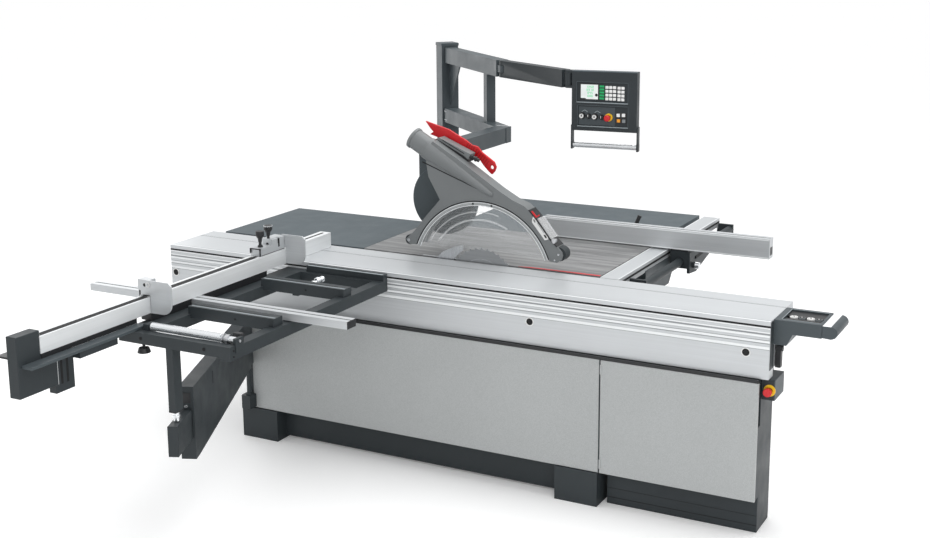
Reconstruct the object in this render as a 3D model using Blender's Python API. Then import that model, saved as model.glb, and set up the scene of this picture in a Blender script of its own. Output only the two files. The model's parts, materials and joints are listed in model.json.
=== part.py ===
"""Sliding-table panel saw: base, sliding carriage, crosscut table and fence, tilting saw unit,
overhead guard and swivelling control panel.

Metres, +Z up, +X towards the operator's end of the sliding carriage, +Y across the table away
from the carriage.  Everything hangs on one root empty that puts the origin at the bottom centre
of the whole machine, so the numbers below are the machine's own coordinates: the saw blade's
plane is near y = 0, the carriage is 3 m long and the tables are 0.91 m above the floor.
"""
import math
import bpy
import bmesh
from mathutils import Matrix, Vector

# ---------------------------------------------------------------- driving dimensions
ROOT_OFFSET = (-0.1860, 0.30404, 0.0)
TABLE_Z = 0.910            # working height
TABLE_T = 0.036            # thickness of the steel tables
CAR_X0, CAR_X1 = -1.439, 1.561   # 3 m sliding carriage
CAR_Y0, CAR_Y1 = -0.389, -0.052
CAR_Z0 = 0.671
BLADE_Y = -0.040           # plane of the main blade
BLADE_R, BLADE_T = 0.175, 0.0032
BLADE_C = (0.110, 0.807)   # x, z of the main arbor
SCORE_R = 0.060
SCORE_C = (0.385, 0.846)
POST = (-0.847, 1.386)     # overhead post
POST_H = 1.785
BEAM_AZ = -42.0            # direction of the overhead beams
BEAM_JOINT = 0.892         # distance from the post to the swing arm's pin
PANEL_O = (0.328, 0.477)   # front left corner of the control panel
PANEL_AZ = 5.8
PANEL_W, PANEL_D = 0.320, 0.045
PANEL_Z0, PANEL_Z1 = 1.475, 1.760
ARM_HINGE = (-0.955, -0.435)
ARM_AZ = -66.53
ARM_LEN = 1.04
LEG_C = (-0.4855, -1.5165)  # crosscut table's leg
FENCE_X0, FENCE_X1 = -0.757, -0.698
FENCE_Z0, FENCE_Z1 = 0.9106, 0.982
GUIDE_BAR = (0.842, 0.852)  # x, z of the rip fence's round bar
GUIDE_BAR_R = 0.020
GAP = 0.0005

# ---------------------------------------------------------------- scene set-up
for obj in list(bpy.data.objects):
    bpy.data.objects.remove(obj, do_unlink=True)

scene = bpy.context.scene
parts = bpy.data.collections.new("panel_saw")
cutters = bpy.data.collections.new("cutters")
scene.collection.children.link(parts)
scene.collection.children.link(cutters)


def empty(name, location=(0, 0, 0), turn=0.0, parent=None):
    obj = bpy.data.objects.new(name, None)
    obj.location = location
    obj.rotation_euler = (0, 0, math.radians(turn))
    obj.parent = parent
    obj.empty_display_size = 0.1
    parts.objects.link(obj)
    return obj


ROOT = empty("origin", ROOT_OFFSET)
FRAME = [ROOT]             # the empty that new shapes hang on

FINISH = {                 # colour, roughness, metallic
    "dark": ((0.055, 0.066, 0.072), 0.45, 0.1),
    "blue_grey": ((0.16, 0.19, 0.205), 0.45, 0.1),
    "panel": ((0.40, 0.42, 0.42), 0.55, 0.1),
    "cabinet": ((0.52, 0.54, 0.55), 0.5, 0.1),
    "alu": ((0.72, 0.74, 0.75), 0.30, 0.9),
    "iron": ((0.42, 0.44, 0.45), 0.35, 0.9),
    "steel": ((0.62, 0.63, 0.64), 0.25, 1.0),
    "chrome": ((0.80, 0.81, 0.82), 0.10, 1.0),
    "black": ((0.012, 0.013, 0.014), 0.45, 0.0),
    "white": ((0.80, 0.80, 0.78), 0.40, 0.0),
    "red": ((0.62, 0.02, 0.025), 0.35, 0.0),
    "orange": ((0.85, 0.30, 0.03), 0.40, 0.0),
    "hood": ((0.17, 0.185, 0.19), 0.45, 0.1),
    "clear": ((0.75, 0.80, 0.82), 0.08, 0.0),
}


def material(name, finish):
    colour, rough, metal = FINISH[finish]
    mat = bpy.data.materials.new(name)
    mat.use_nodes = True
    bsdf = mat.node_tree.nodes["Principled BSDF"]
    bsdf.inputs["Base Color"].default_value = (*colour, 1.0)
    bsdf.inputs["Roughness"].default_value = rough
    bsdf.inputs["Metallic"].default_value = metal
    mat.diffuse_color = (*colour, 1.0)
    return mat


# ---------------------------------------------------------------- shape tools
def helper(mesh):
    obj = bpy.data.objects.new(mesh.name, mesh)
    obj.parent = FRAME[-1]
    obj.hide_render = True
    obj.display_type = "WIRE"
    cutters.objects.link(obj)
    return obj


def from_bmesh(bm, name):
    mesh = bpy.data.meshes.new(name)
    bm.to_mesh(mesh)
    bm.free()
    return helper(mesh)


def block(x0, x1, y0, y1, z0, z1):
    bm = bmesh.new()
    bmesh.ops.create_cube(bm, size=1.0)
    bmesh.ops.scale(bm, vec=(x1 - x0, y1 - y0, z1 - z0), verts=bm.verts)
    bmesh.ops.translate(bm, vec=((x0 + x1) / 2, (y0 + y1) / 2, (z0 + z1) / 2), verts=bm.verts)
    return from_bmesh(bm, "block")


def cyl(p0, p1, r, seg=20, r2=None):
    """A cylinder or cone from p0 to p1."""
    p0, p1 = Vector(p0), Vector(p1)
    along = p1 - p0
    turn = Vector((0, 0, 1)).rotation_difference(along).to_matrix().to_4x4()
    bm = bmesh.new()
    bmesh.ops.create_cone(bm, cap_ends=True, segments=seg, radius1=r, radius2=r if r2 is None else r2,
                          depth=along.length, matrix=Matrix.Translation((p0 + p1) / 2) @ turn)
    return from_bmesh(bm, "cylinder")


AXES = {"X": lambda u, v, w: (w, u, v), "Y": lambda u, v, w: (u, w, v), "Z": lambda u, v, w: (u, v, w)}


def prism(points, axis, a, b):
    """A flat outline as a filled 2D curve, extruded from a to b along an axis."""
    curve = bpy.data.curves.new("outline", "CURVE")
    curve.dimensions = "2D"
    curve.fill_mode = "BOTH"
    curve.extrude = (b - a) / 2
    spline = curve.splines.new("POLY")
    spline.points.add(len(points) - 1)
    for point, (u, v) in zip(spline.points, points):
        point.co = (u, v, 0, 1)
    spline.use_cyclic_u = True
    obj = bpy.data.objects.new("outline", curve)
    scene.collection.objects.link(obj)
    bpy.context.view_layer.update()
    mesh = bpy.data.meshes.new_from_object(obj.evaluated_get(bpy.context.evaluated_depsgraph_get()))
    bpy.data.objects.remove(obj)
    bm = bmesh.new()
    bm.from_mesh(mesh)
    bmesh.ops.remove_doubles(bm, verts=bm.verts, dist=0.00001)
    place = AXES[axis]
    for vert in bm.verts:
        u, v, w = vert.co
        vert.co = place(u, v, w + (a + b) / 2)
    bmesh.ops.recalc_face_normals(bm, faces=bm.faces)
    if bm.calc_volume(signed=True) < 0:
        bmesh.ops.reverse_faces(bm, faces=bm.faces)
    return from_bmesh(bm, "prism")


def tube(points, r, sides=2):
    """A round bar through the points, as a bevelled curve made into a mesh."""
    curve = bpy.data.curves.new("bar", "CURVE")
    curve.dimensions = "3D"
    curve.bevel_depth = r
    curve.bevel_resolution = sides
    curve.use_fill_caps = True
    spline = curve.splines.new("POLY")
    spline.points.add(len(points) - 1)
    for point, co in zip(spline.points, points):
        point.co = (*co, 1)
    obj = bpy.data.objects.new("bar", curve)
    scene.collection.objects.link(obj)
    bpy.context.view_layer.update()
    mesh = bpy.data.meshes.new_from_object(obj.evaluated_get(bpy.context.evaluated_depsgraph_get()))
    bpy.data.objects.remove(obj)
    bm = bmesh.new()
    bm.from_mesh(mesh)
    bmesh.ops.remove_doubles(bm, verts=bm.verts, dist=0.00001)
    bmesh.ops.recalc_face_normals(bm, faces=bm.faces)
    return from_bmesh(bm, "bar")


def arc(cx, cy, r, a0, a1, n):
    return [(cx + r * math.cos(math.radians(a0 + (a1 - a0) * i / n)),
             cy + r * math.sin(math.radians(a0 + (a1 - a0) * i / n))) for i in range(n + 1)]


def part(name, finish, adds, cuts=(), pivot=(0, 0, 0), smooth=False):
    """The first shape becomes the part, the other adds join it and the cuts come off it."""
    obj = adds[0]
    cutters.objects.unlink(obj)
    parts.objects.link(obj)
    obj.name = name
    obj.data.name = name
    obj.hide_render = False
    obj.display_type = "TEXTURED"
    obj.parent = FRAME[-1]
    obj.data.transform(Matrix.Translation(-Vector(pivot)))
    obj.location = pivot
    for operation, others in (("UNION", adds[1:]), ("DIFFERENCE", cuts)):
        for other in others:
            mod = obj.modifiers.new(operation.title(), "BOOLEAN")
            mod.operation = operation
            mod.object = other
            mod.solver = "EXACT"
    obj.data.materials.clear()
    obj.data.materials.append(material(name, finish))
    if smooth:
        obj.data.shade_smooth()
        obj.data.set_sharp_from_angle(angle=math.radians(35))
    return obj


# ---------------------------------------------------------------- base machine
def base():
    part("base_frame", "dark", [
        block(-0.950, 0.850, -0.392, 0.600, 0.150, 0.666),
        block(-0.930, 0.680, -0.046, 0.600, 0.640, 0.8730),
        block(-1.017, -0.813, -0.414, 0.580, 0.0, 0.152),          # left foot beam
        block(0.650, 0.848, -0.414, 0.580, 0.0, 0.152),            # right foot beam
        block(-0.820, 0.660, -0.340, 0.550, 0.012, 0.155),         # recessed plinth
        block(-0.990, -0.940, -0.391, -0.330, 0.151, 0.225),       # hinge lugs of the support arm
        block(-0.990, -0.956, -0.450, -0.350, 0.151, 0.225),
        block(-0.985, -0.936, -0.460, -0.4085, 0.160, 0.225),
        block(-0.974, -0.9535, -0.4060, -0.385, 0.151, 0.666),
        block(-0.990, -0.940, -0.391, -0.330, 0.634, 0.646),
        block(-0.990, -0.956, -0.450, -0.350, 0.634, 0.646),
        block(-0.985, -0.925, -0.460, -0.4085, 0.634, 0.646),
        cyl((*ARM_HINGE, 0.19), (*ARM_HINGE, 0.642), 0.0125, 16),
        block(-0.235, -0.215, -0.045, 0.595, 0.600, 0.872),        # ribs that carry the tilting unit
        block(0.455, 0.475, -0.045, 0.595, 0.600, 0.872),
    ], [
        block(-0.938, 0.838, -0.380, 0.588, 0.162, 0.654),
        block(-0.918, -0.236, -0.060, 0.588, 0.600, 0.900),
        block(-0.214, 0.454, -0.060, 0.588, 0.600, 0.900),
        block(0.476, 0.668, -0.060, 0.588, 0.600, 0.900),
        block(-0.2145, 0.4545, -0.060, 0.300, 0.500, 0.900),
    ])
    part("front_panel", "panel", [block(-0.953, 0.8525, -0.407, -0.3925, 0.154, 0.667)])
    part("cabinet_right", "cabinet", [
        block(0.856, 1.526, -0.396, -0.183, 0.154, 0.666),
        block(0.870, 1.526, -0.352, -0.183, 0.0, 0.160),
        block(0.849, 0.870, -0.380, -0.200, 0.300, 0.500),
    ], [
        block(0.870, 1.512, -0.410, -0.197, 0.168, 0.652),
        block(0.840, 0.8504, -0.40, -0.18, 0.25, 0.55),
        block(1.505, 1.540, -0.400, -0.360, 0.466, 0.590),         # grip behind the door's edge
    ])
    part("cabinet_door", "panel", [
        block(0.8556, 1.528, -0.407, -0.3966, 0.1545, 0.6560),
        cyl((0.8572, -0.4085, 0.175), (0.8572, -0.4085, 0.215), 0.0045, 10),
        cyl((0.8572, -0.4085, 0.595), (0.8572, -0.4085, 0.635), 0.0045, 10),
    ], pivot=(0.8572, -0.4085, 0.405))
    part("guide_rail", "steel", [
        block(-0.930, 1.500, -0.300, -0.140, 0.6665, 0.684),
        block(-0.930, 1.500, -0.318, -0.290, 0.6665, 0.694),
        block(-0.930, 1.500, -0.150, -0.122, 0.6665, 0.694),
    ])
    # Cast-iron saw table, with the blade's slot along its front edge and a relief below it
    part("table_cast_iron", "iron", [block(-0.5405, 0.692, -0.028, 0.629, 0.8735, TABLE_Z)], [
        block(-0.230, 0.450, -0.040, 0.160, 0.860, 0.902),
        block(-0.500, -0.250, 0.010, 0.590, 0.860, 0.892),
        block(0.470, 0.660, 0.010, 0.590, 0.860, 0.892),
        block(-0.210, 0.430, 0.180, 0.590, 0.860, 0.892),
    ])
    part("table_rear", "dark", [block(-1.379, -0.5415, -0.028, 0.629, TABLE_Z - TABLE_T, TABLE_Z)], [
        block(-1.367, -0.950, -0.016, 0.617, 0.860, 0.896),
        block(-0.900, -0.560, 0.010, 0.585, 0.860, 0.896),
    ])
    part("table_rip", "dark", [block(-0.400, 0.671, 0.631, 1.412, TABLE_Z - TABLE_T, TABLE_Z)], [
        block(-0.380, 0.130, 0.650, 1.395, 0.860, 0.898),
        block(0.150, 0.650, 0.650, 1.395, 0.860, 0.898),
    ])
    part("table_leg", "dark", [
        block(0.300, 0.360, 1.300, 1.360, 0.010, 0.8735),
        block(-0.350, -0.290, 1.300, 1.360, 0.010, 0.8735),
        block(-0.350, 0.360, 1.305, 1.355, 0.700, 0.760),
        block(0.285, 0.375, 1.285, 1.375, 0.0, 0.012),
        block(-0.365, -0.275, 1.285, 1.375, 0.0, 0.012),
        block(0.300, 0.360, 0.6015, 1.310, 0.700, 0.760),
        block(-0.350, -0.290, 0.6015, 1.310, 0.700, 0.760),
    ])
    part("cross_rail", "alu", [
        block(0.6935, 0.782, -0.030, 1.412, 0.862, 0.906),
        block(0.775, 0.862, 0.100, 0.115, 0.832, 0.880),
        block(0.775, 0.862, 1.390, 1.405, 0.832, 0.880),
        cyl((GUIDE_BAR[0], 0.100, GUIDE_BAR[1]), (GUIDE_BAR[0], 1.405, GUIDE_BAR[1]), GUIDE_BAR_R, 16),
        prism([(0.300, 0.870), (0.300, 0.770), (0.420, 0.735), (0.620, 0.735), (0.680, 0.800), (0.680, 0.870)],
              "X", 0.700, 0.785),
    ], [
        block(0.7825, 0.830, 0.1155, 1.3895, 0.875, 0.90),
    ])
    part("estop_box", "dark", [block(1.5265, 1.581, -0.360, -0.225, 0.577, 0.664)],
         [cyl((1.556, -0.365, 0.616), (1.556, -0.340, 0.616), 0.0090, 16)])
    part("estop_box_button", "red", [
        cyl((1.556, -0.386, 0.616), (1.556, -0.368, 0.616), 0.0175, 20),
        cyl((1.556, -0.372, 0.616), (1.556, -0.348, 0.616), 0.0082, 16)],
        pivot=(1.556, -0.368, 0.616), smooth=True)


# ---------------------------------------------------------------- sliding carriage and its controls
def carriage():
    part("carriage", "alu", [block(CAR_X0, CAR_X1, CAR_Y0, CAR_Y1, CAR_Z0, TABLE_Z)], [
        block(-1.450, 1.549, -0.377, -0.212, 0.720, 0.898),        # hollow profile, open at the far end
        block(-1.450, 1.549, -0.220, -0.064, 0.812, 0.898),
        block(-1.460, 1.580, -0.200, -0.040, 0.650, 0.800),        # the lower half stops short of the table
        block(-1.450, 1.570, -0.330, -0.110, 0.650, 0.706),        # channel over the guide rail
        block(-1.450, 1.570, -0.160, -0.156, 0.905, 0.920),        # groove in the top
        block(-1.450, 1.570, -0.395, -0.381, 0.886, 0.891),        # groove in the outer edge
    ])
    y0, y1 = -0.345, -0.152
    xs = (1.619, 1.651, 1.686, 1.718)
    part("console_tray", "blue_grey", [
        prism([(1.5615, 0.807), (1.614, 0.807), (1.637, 0.855), (1.750, 0.855), (1.750, TABLE_Z), (1.5615, TABLE_Z)],
              "Y", y0, y1),
    ], [block(1.588, 1.738, y0 + 0.018, y1 - 0.018, 0.893, 0.920)]
        + [cyl((x, -0.262, 0.880), (x, -0.262, 0.9), 0.0105, 16) for x in xs])
    part("push_handle", "steel", [
        prism([(1.7505, 0.858), (1.785, 0.856)] + arc(1.786, 0.882, 0.025, -80, 80, 6) + [(1.785, 0.9075), (1.7505, 0.9075)],
              "Y", y0, y1)], smooth=True)
    for i, x in enumerate(xs):
        part("console_button_%d" % (i + 1), "white" if i % 2 == 0 else "black", [
            cyl((x, -0.262, 0.886), (x, -0.262, 0.899), 0.0100, 16)], pivot=(x, -0.262, 0.899), smooth=True)
    part("carriage_lock", "black", [
        block(1.5640, 1.586, -0.314, -0.286, 0.703, 0.795),
        cyl((1.5625, -0.300, 0.782), (1.592, -0.300, 0.782), 0.012, 14)], pivot=(1.575, -0.300, 0.782))


# ---------------------------------------------------------------- crosscut table, fence and stops
def crosscut():
    part("crosscut_frame", "dark", [
        block(-0.240, -0.190, -1.540, -0.392, 0.825, 0.875),       # right rail
        block(-0.738, -0.630, -1.500, -0.392, 0.826, 0.8765),      # left rail
        block(-0.738, -0.190, -1.540, -1.500, 0.835, 0.881),       # outer beam
        block(-0.700, -0.190, -0.440, -0.3915, 0.830, 0.8765),     # inner beam
        block(-0.605, -0.190, -0.425, -0.3915, 0.870, 0.905),
        block(-0.640, -0.203, -0.730, -0.670, 0.860, TABLE_Z),     # slats
        block(-0.640, -0.209, -1.230, -1.170, 0.860, TABLE_Z),
        block(-0.502, -0.469, -1.540, -1.493, 0.574, 0.850),       # leg
        cyl((*LEG_C, 0.5325), (*LEG_C, 0.590), 0.010, 14),
        block(-0.640, -0.616, -1.505, -1.458, 0.860, 0.906),       # roller brackets
        block(-0.199, -0.186, -1.505, -1.458, 0.850, 0.906),
        cyl((-0.450, -0.560, 0.862), (-0.450, -0.530, 0.862), 0.016, 14),
        block(-0.500, -0.240, -0.585, -0.555, 0.840, 0.870),
        block(-0.500, -0.470, -0.690, -0.555, 0.840, 0.870),
    ], [
        block(-0.630, -0.250, -0.704, -0.696, 0.898, 0.920),       # slots in the slats
        block(-0.630, -0.250, -1.204, -1.196, 0.898, 0.920),
        cyl((-0.650, -1.482, 0.893), (-0.180, -1.482, 0.893), 0.0046, 12),
        cyl((-0.629, -1.520, 0.820), (-0.629, -1.520, 0.868), 0.0066, 12),
    ])
    part("front_roller", "chrome", [
        cyl((-0.6145, -1.482, 0.893), (-0.2005, -1.482, 0.893), 0.0135, 16),
        cyl((-0.638, -1.482, 0.893), (-0.188, -1.482, 0.893), 0.0040, 12)],
        pivot=(-0.4, -1.482, 0.893), smooth=True)
    part("levelling_knob", "black", [
        cyl((-0.629, -1.520, 0.796), (-0.629, -1.520, 0.816), 0.027, 16, 0.021),
        cyl((-0.629, -1.520, 0.810), (-0.629, -1.520, 0.862), 0.0060, 12)],
        pivot=(-0.629, -1.520, 0.81), smooth=True)
    part("support_bar", "alu", [block(-1.267, 0.074, -1.132, -1.070, 0.8775, 0.9098)], [
        block(-1.400, 0.100, -1.105, -1.097, 0.900, 0.920),
        block(-1.400, -1.200, -1.126, -1.076, 0.883, 0.897),
    ])
    part("fence_profile", "alu", [
        block(FENCE_X0, FENCE_X1, -1.385, -0.0780, FENCE_Z0, FENCE_Z1)], [
        block(-0.7555, -0.6995, -1.400, -0.700, 0.9121, 0.9800),
        block(-0.741, -0.716, -1.400, -0.660, 0.9765, 0.999),
        block(-0.734, -0.721, -0.670, -0.100, 0.9765, 0.999),
    ])
    part("fence_extension", "alu", [
        block(-0.7545, -0.7005, -1.990, -0.900, 0.9130, 0.9788),
        block(-0.753, -0.706, -2.100, -1.985, 0.770, 1.002),       # end column
        block(-0.753, -0.706, -2.000, -1.906, 0.770, 0.890),       # length-stop housing
        block(-0.745, -0.712, -1.915, -1.820, 0.735, 0.885),
        block(-0.812, -0.750, -2.095, -2.030, 0.914, 0.920),       # reading plate
        block(-0.7065, -0.655, -2.080, -1.985, 0.8825, 0.893),
        block(-0.7000, -0.655, -2.080, -1.465, 0.8825, 0.893),     # flat support rail
        block(-0.7065, -0.690, -2.000, -1.906, 0.8825, 0.893),
        block(-0.6980, -0.660, -1.835, -1.632, 0.8570, 0.885),
    ], [
        block(-0.739, -0.718, -1.980, -1.380, 0.972, 0.985),
    ])
    part("stop_inner", "alu", [
        block(-0.757, -0.702, -0.640, -0.456, 0.983, 1.018),
        block(-0.757, -0.712, -0.550, -0.456, 1.000, 1.045),
        cyl((-0.730, -0.604, 1.000), (-0.730, -0.604, 1.070), 0.0055, 10),
        cyl((-0.730, -0.604, 1.068), (-0.730, -0.604, 1.090), 0.014, 12, 0.019),
        cyl((-0.730, -0.541, 1.000), (-0.730, -0.541, 1.085), 0.0055, 10),
        cyl((-0.730, -0.541, 1.082), (-0.730, -0.541, 1.106), 0.015, 12, 0.021),
        cyl((-0.708, -0.458, 1.030), (-0.708, -0.438, 1.030), 0.0050, 12),
        block(-0.714, -0.704, -0.470, -0.456, 1.020, 1.040),
    ])
    part("stop_outer", "alu", [
        block(-0.757, -0.702, -1.378, -1.335, 0.983, 1.008),
        block(-0.770, -0.712, -1.378, -1.335, 1.000, 1.045),
        cyl((-0.708, -1.370, 1.030), (-0.708, -1.396, 1.030), 0.0050, 12),
        block(-0.714, -0.704, -1.378, -1.365, 1.020, 1.040),
    ])

    def flap(x, z):            # white stop plate with a round lower corner
        return ([(x - 0.010, z + 0.018), (x - 0.010, z - 0.012), (x + 0.0105, z - 0.046)]
                + [(x + 0.0105, z - 0.1175)]
                + arc(x + 0.068, z - 0.0675, 0.050, -80, 0, 6)
                + [(x + 0.118, z + 0.005), (x + 0.103, z + 0.018)])

    for name, y in (("stop_inner_flap", -0.4545), ("stop_outer_flap", -1.3865)):
        side = 1 if name == "stop_inner_flap" else -1
        ya, yb = (y, y + 0.007) if side > 0 else (y - 0.002, y + 0.005)
        part(name, "white", [prism(flap(-0.708, 1.030), "Y", ya, yb)],
             [cyl((-0.708, ya - 0.01, 1.030), (-0.708, yb + 0.01, 1.030), 0.0056, 12)],
             pivot=(-0.708, (ya + yb) / 2, 1.030))


# ---------------------------------------------------------------- telescopic support arm
def support():
    frame = empty("support_arm_axis", (*ARM_HINGE, 0), ARM_AZ, ROOT)
    FRAME.append(frame)
    part("support_arm", "dark", [
        prism([(0.070, 0.626), (ARM_LEN, 0.626), (ARM_LEN, 0.316), (0.985, 0.316), (0.070, 0.384)], "Y", -0.031, 0.031),
        block(0.0, 0.110, -0.0235, 0.0235, 0.386, 0.624),
        cyl((0, 0, 0.385), (0, 0, 0.626), 0.0245, 20),
    ], [
        cyl((0, 0, 0.30), (0, 0, 0.70), 0.0130, 16),
        block(0.150, 1.100, -0.0218, 0.0218, 0.4035, 0.5320),
        prism(arc(0.745, 0.590, 0.0065, 0, 180, 4) + arc(0.745, 0.545, 0.0065, 180, 360, 4), "Y", 0.0285, 0.040),
    ])
    part("support_arm_inner", "dark", [
        block(0.520, 1.240, -0.0205, 0.0205, 0.4050, 0.5305),
        cyl((0.560, 0, 0.45), (0.560, 0, 0.46), 0.01, 12)], pivot=(0.520, 0, 0.46))
    FRAME.pop()


# ---------------------------------------------------------------- tilting saw unit
def saw_unit():
    cx, cz = BLADE_C
    sx, sz = SCORE_C
    quadrant = arc(BLADE_Y, TABLE_Z, 0.260, -90, -62, 6) + arc(BLADE_Y, TABLE_Z, 0.160, -62, -90, 6)
    tilt = (cx, BLADE_Y, TABLE_Z)
    part("saw_trunnion", "iron", [
        block(-0.200, 0.420, -0.008, 0.008, 0.260, 0.795),
        prism(quadrant, "X", -0.200, -0.185),
        prism(quadrant, "X", 0.405, 0.420),
        block(-0.200, -0.180, -0.008, 0.040, 0.300, 0.700),
        block(0.400, 0.420, -0.008, 0.040, 0.300, 0.700),
        block(sx - 0.020, sx + 0.025, -0.034, 0.000, 0.660, 0.750),
        block(sx - 0.014, sx + 0.014, -0.034, -0.0245, 0.740, sz),
        cyl((sx, -0.034, sz), (sx, -0.0245, sz), 0.014, 16),
    ], [
        block(cx - 0.086, cx + 0.086, -0.05, 0.05, 0.290, 0.590),
        cyl((sx, -0.040, sz), (sx, -0.010, sz), 0.0052, 12),
    ], pivot=tilt)
    part("saw_arm", "iron", [
        block(cx - 0.070, cx + 0.070, -0.022, -0.010, 0.380, 0.815),
        cyl((cx, -0.034, cz), (cx, -0.010, cz), 0.020, 18),
        block(-0.140, -0.020, -0.022, -0.014, 0.660, 0.760),
        block(-0.030, 0.060, -0.022, -0.010, 0.660, 0.760),
        block(-0.140, -0.100, -0.0382, -0.016, 0.690, 0.750),
    ], [
        cyl((cx, -0.060, cz), (cx, 0.000, cz), 0.0102, 16),
        cyl((cx, -0.060, 0.460), (cx, 0.000, 0.460), 0.0120, 16),
    ], pivot=(cx, -0.016, 0.6))
    part("drive_motor", "blue_grey", [
        cyl((cx, 0.012, 0.460), (cx, 0.200, 0.460), 0.078, 24),
        cyl((cx, -0.0095, 0.460), (cx, 0.020, 0.460), 0.055, 24),
        cyl((cx, -0.030, 0.460), (cx, 0.020, 0.460), 0.0110, 16),
    ], pivot=(cx, 0.0, 0.460), smooth=True)
    teeth = []
    count = 36
    for i in range(count):
        a = 360.0 * i / count
        for da, r in ((0.0, BLADE_R), (2.2, BLADE_R - 0.002), (3.2, BLADE_R - 0.009), (8.2, BLADE_R - 0.006)):
            t = math.radians(a + da)
            teeth.append((cx + r * math.cos(t), cz + r * math.sin(t)))
    part("main_blade", "steel", [
        prism(teeth, "Y", BLADE_Y - BLADE_T / 2, BLADE_Y + BLADE_T / 2),
        cyl((cx, -0.047, cz), (cx, -0.0345, cz), 0.035, 20),
        cyl((cx, -0.050, cz), (cx, -0.0085, cz), 0.0098, 16),
    ], pivot=(cx, BLADE_Y, cz))
    part("scoring_blade", "steel", [
        cyl((sx, BLADE_Y - 0.0016, sz), (sx, BLADE_Y + 0.0016, sz), SCORE_R, 36),
        cyl((sx, -0.045, sz), (sx, -0.0345, sz), 0.016, 16),
        cyl((sx, -0.045, sz), (sx, -0.0260, sz), 0.0048, 12),
    ], pivot=(sx, BLADE_Y, sz))
    inner = arc(cx, cz, BLADE_R + 0.006, 190, 123, 10)
    part("riving_knife", "steel", [
        prism([(0.012, 0.9850), (-0.045, 0.968), (-0.100, 0.940), (-0.140, 0.900), (-0.152, 0.840), (-0.150, 0.700),
               (-0.100, 0.700), (-0.090, 0.760)] + inner, "Y", BLADE_Y - 0.0014, BLADE_Y + 0.0014),
    ], pivot=(-0.12, BLADE_Y, 0.72))


# ---------------------------------------------------------------- overhead guard
def guard():
    y0, y1 = -0.075, -0.005
    arch = (0.123, 0.844, 0.364)
    outer = ([(-0.167, 1.408), (-0.126, 1.468), (0.019, 1.386), (0.211, 1.266), (0.283, 1.227), (0.342, 1.205),
              (0.359, 1.191), (0.402, 1.150), (0.472, 1.063), (0.505, 1.034), (0.528, 1.012), (0.532, 0.996),
              (0.526, 0.976), (0.504, 0.961), (0.468, 0.964)]
             + arc(*arch, 20, 159.5, 22)
             + [(-0.255, 0.970), (-0.276, 0.992), (-0.230, 1.035), (-0.167, 1.111), (-0.090, 1.197), (-0.150, 1.300)])
    inner = ([(-0.150, 1.402), (-0.121, 1.451), (0.012, 1.373), (0.204, 1.253), (0.278, 1.214), (0.333, 1.193),
              (0.348, 1.182), (0.390, 1.140), (0.452, 1.062), (0.458, 1.006)] + arc(0.123, 0.844, 0.356, 27, 153, 18)
             + [(-0.205, 1.040), (-0.155, 1.105), (-0.075, 1.200), (-0.136, 1.305)])
    d = Vector((math.cos(math.radians(-29.6)), 0, math.sin(math.radians(-29.6))))
    end = Vector((-0.246, -0.040, 1.473))
    part("hood", "hood", [
        prism(outer, "Y", y0, y1),
        cyl(end, end + d * 0.14, 0.0485, 24),
        block(-0.130, -0.070, -0.006, 0.0100, 1.215, 1.400),
    ], [
        prism(inner, "Y", y0 + 0.005, y1 - 0.005),
        cyl(end - d * 0.02, end + d * 0.20, 0.0445, 24),
        cyl((0.511, y0 + 0.007, 0.999), (0.511, y1 - 0.007, 0.999), 0.0335, 24),
        cyl((-0.260, y0 + 0.007, 0.989), (-0.260, y1 - 0.007, 0.989), 0.0255, 20),
        cyl((0.511, y0 - 0.01, 0.999), (0.511, y1 + 0.01, 0.999), 0.0046, 12),
        cyl((-0.260, y0 - 0.01, 0.989), (-0.260, y1 + 0.01, 0.989), 0.0046, 12),
    ])
    chord = [(0.4600, 0.9665)] + arc(0.123, 0.844, 0.3625, 20.5, 158.8, 22) + [(-0.2130, 0.9665)]
    hollow = [(0.520, 0.900)] + arc(0.123, 0.844, 0.357, 10, 170, 22) + [(-0.300, 0.900)]
    part("hood_window", "clear", [prism(chord, "Y", y0 + 0.0005, y1 - 0.0005)],
         [prism(hollow, "Y", y0 + 0.0035, y1 - 0.0035), block(-0.080, 0.320, -0.062, -0.018, 1.000, 1.300),
          block(-0.110, 0.310, -0.090, -0.060, 0.950, 0.9785)])
    for name, x, z, r in (("hood_roller_rear", -0.260, 0.989, 0.0240), ("hood_roller_front", 0.511, 0.999, 0.0320)):
        part(name, "steel", [
            cyl((x, y0 + 0.0085, z), (x, y1 - 0.0085, z), r, 24),
            cyl((x, y0 + 0.0005, z), (x, y1 - 0.0005, z), 0.0040, 12)], pivot=(x, -0.040, z), smooth=True)
    # Push stick: a flat outline with a notched foot, a long shank and a ring handle
    part("push_stick", "red", [
        prism([(-0.2227, 1.5427), (-0.0976, 1.5099), (-0.0074, 1.4647), (0.0227, 1.4452), (0.0524, 1.4393),
               (0.0761, 1.4140), (0.1383, 1.3733), (0.1485, 1.3499), (0.1408, 1.3306), (0.1263, 1.3146), (0.1114,
               1.3256), (0.0815, 1.3555), (0.0639, 1.3785), (0.0281, 1.3970), (-0.0078, 1.4160), (-0.0682, 1.4362),
               (-0.1529, 1.4682), (-0.1988, 1.4818), (-0.1804, 1.4938), (-0.1958, 1.5089)], "Y", 0.030, 0.042)],
         [cyl((0.1264, 0.0, 1.3482), (0.1264, 0.1, 1.3482), 0.0090, 14)], pivot=(0.0, 0.036, 1.43))



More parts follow.
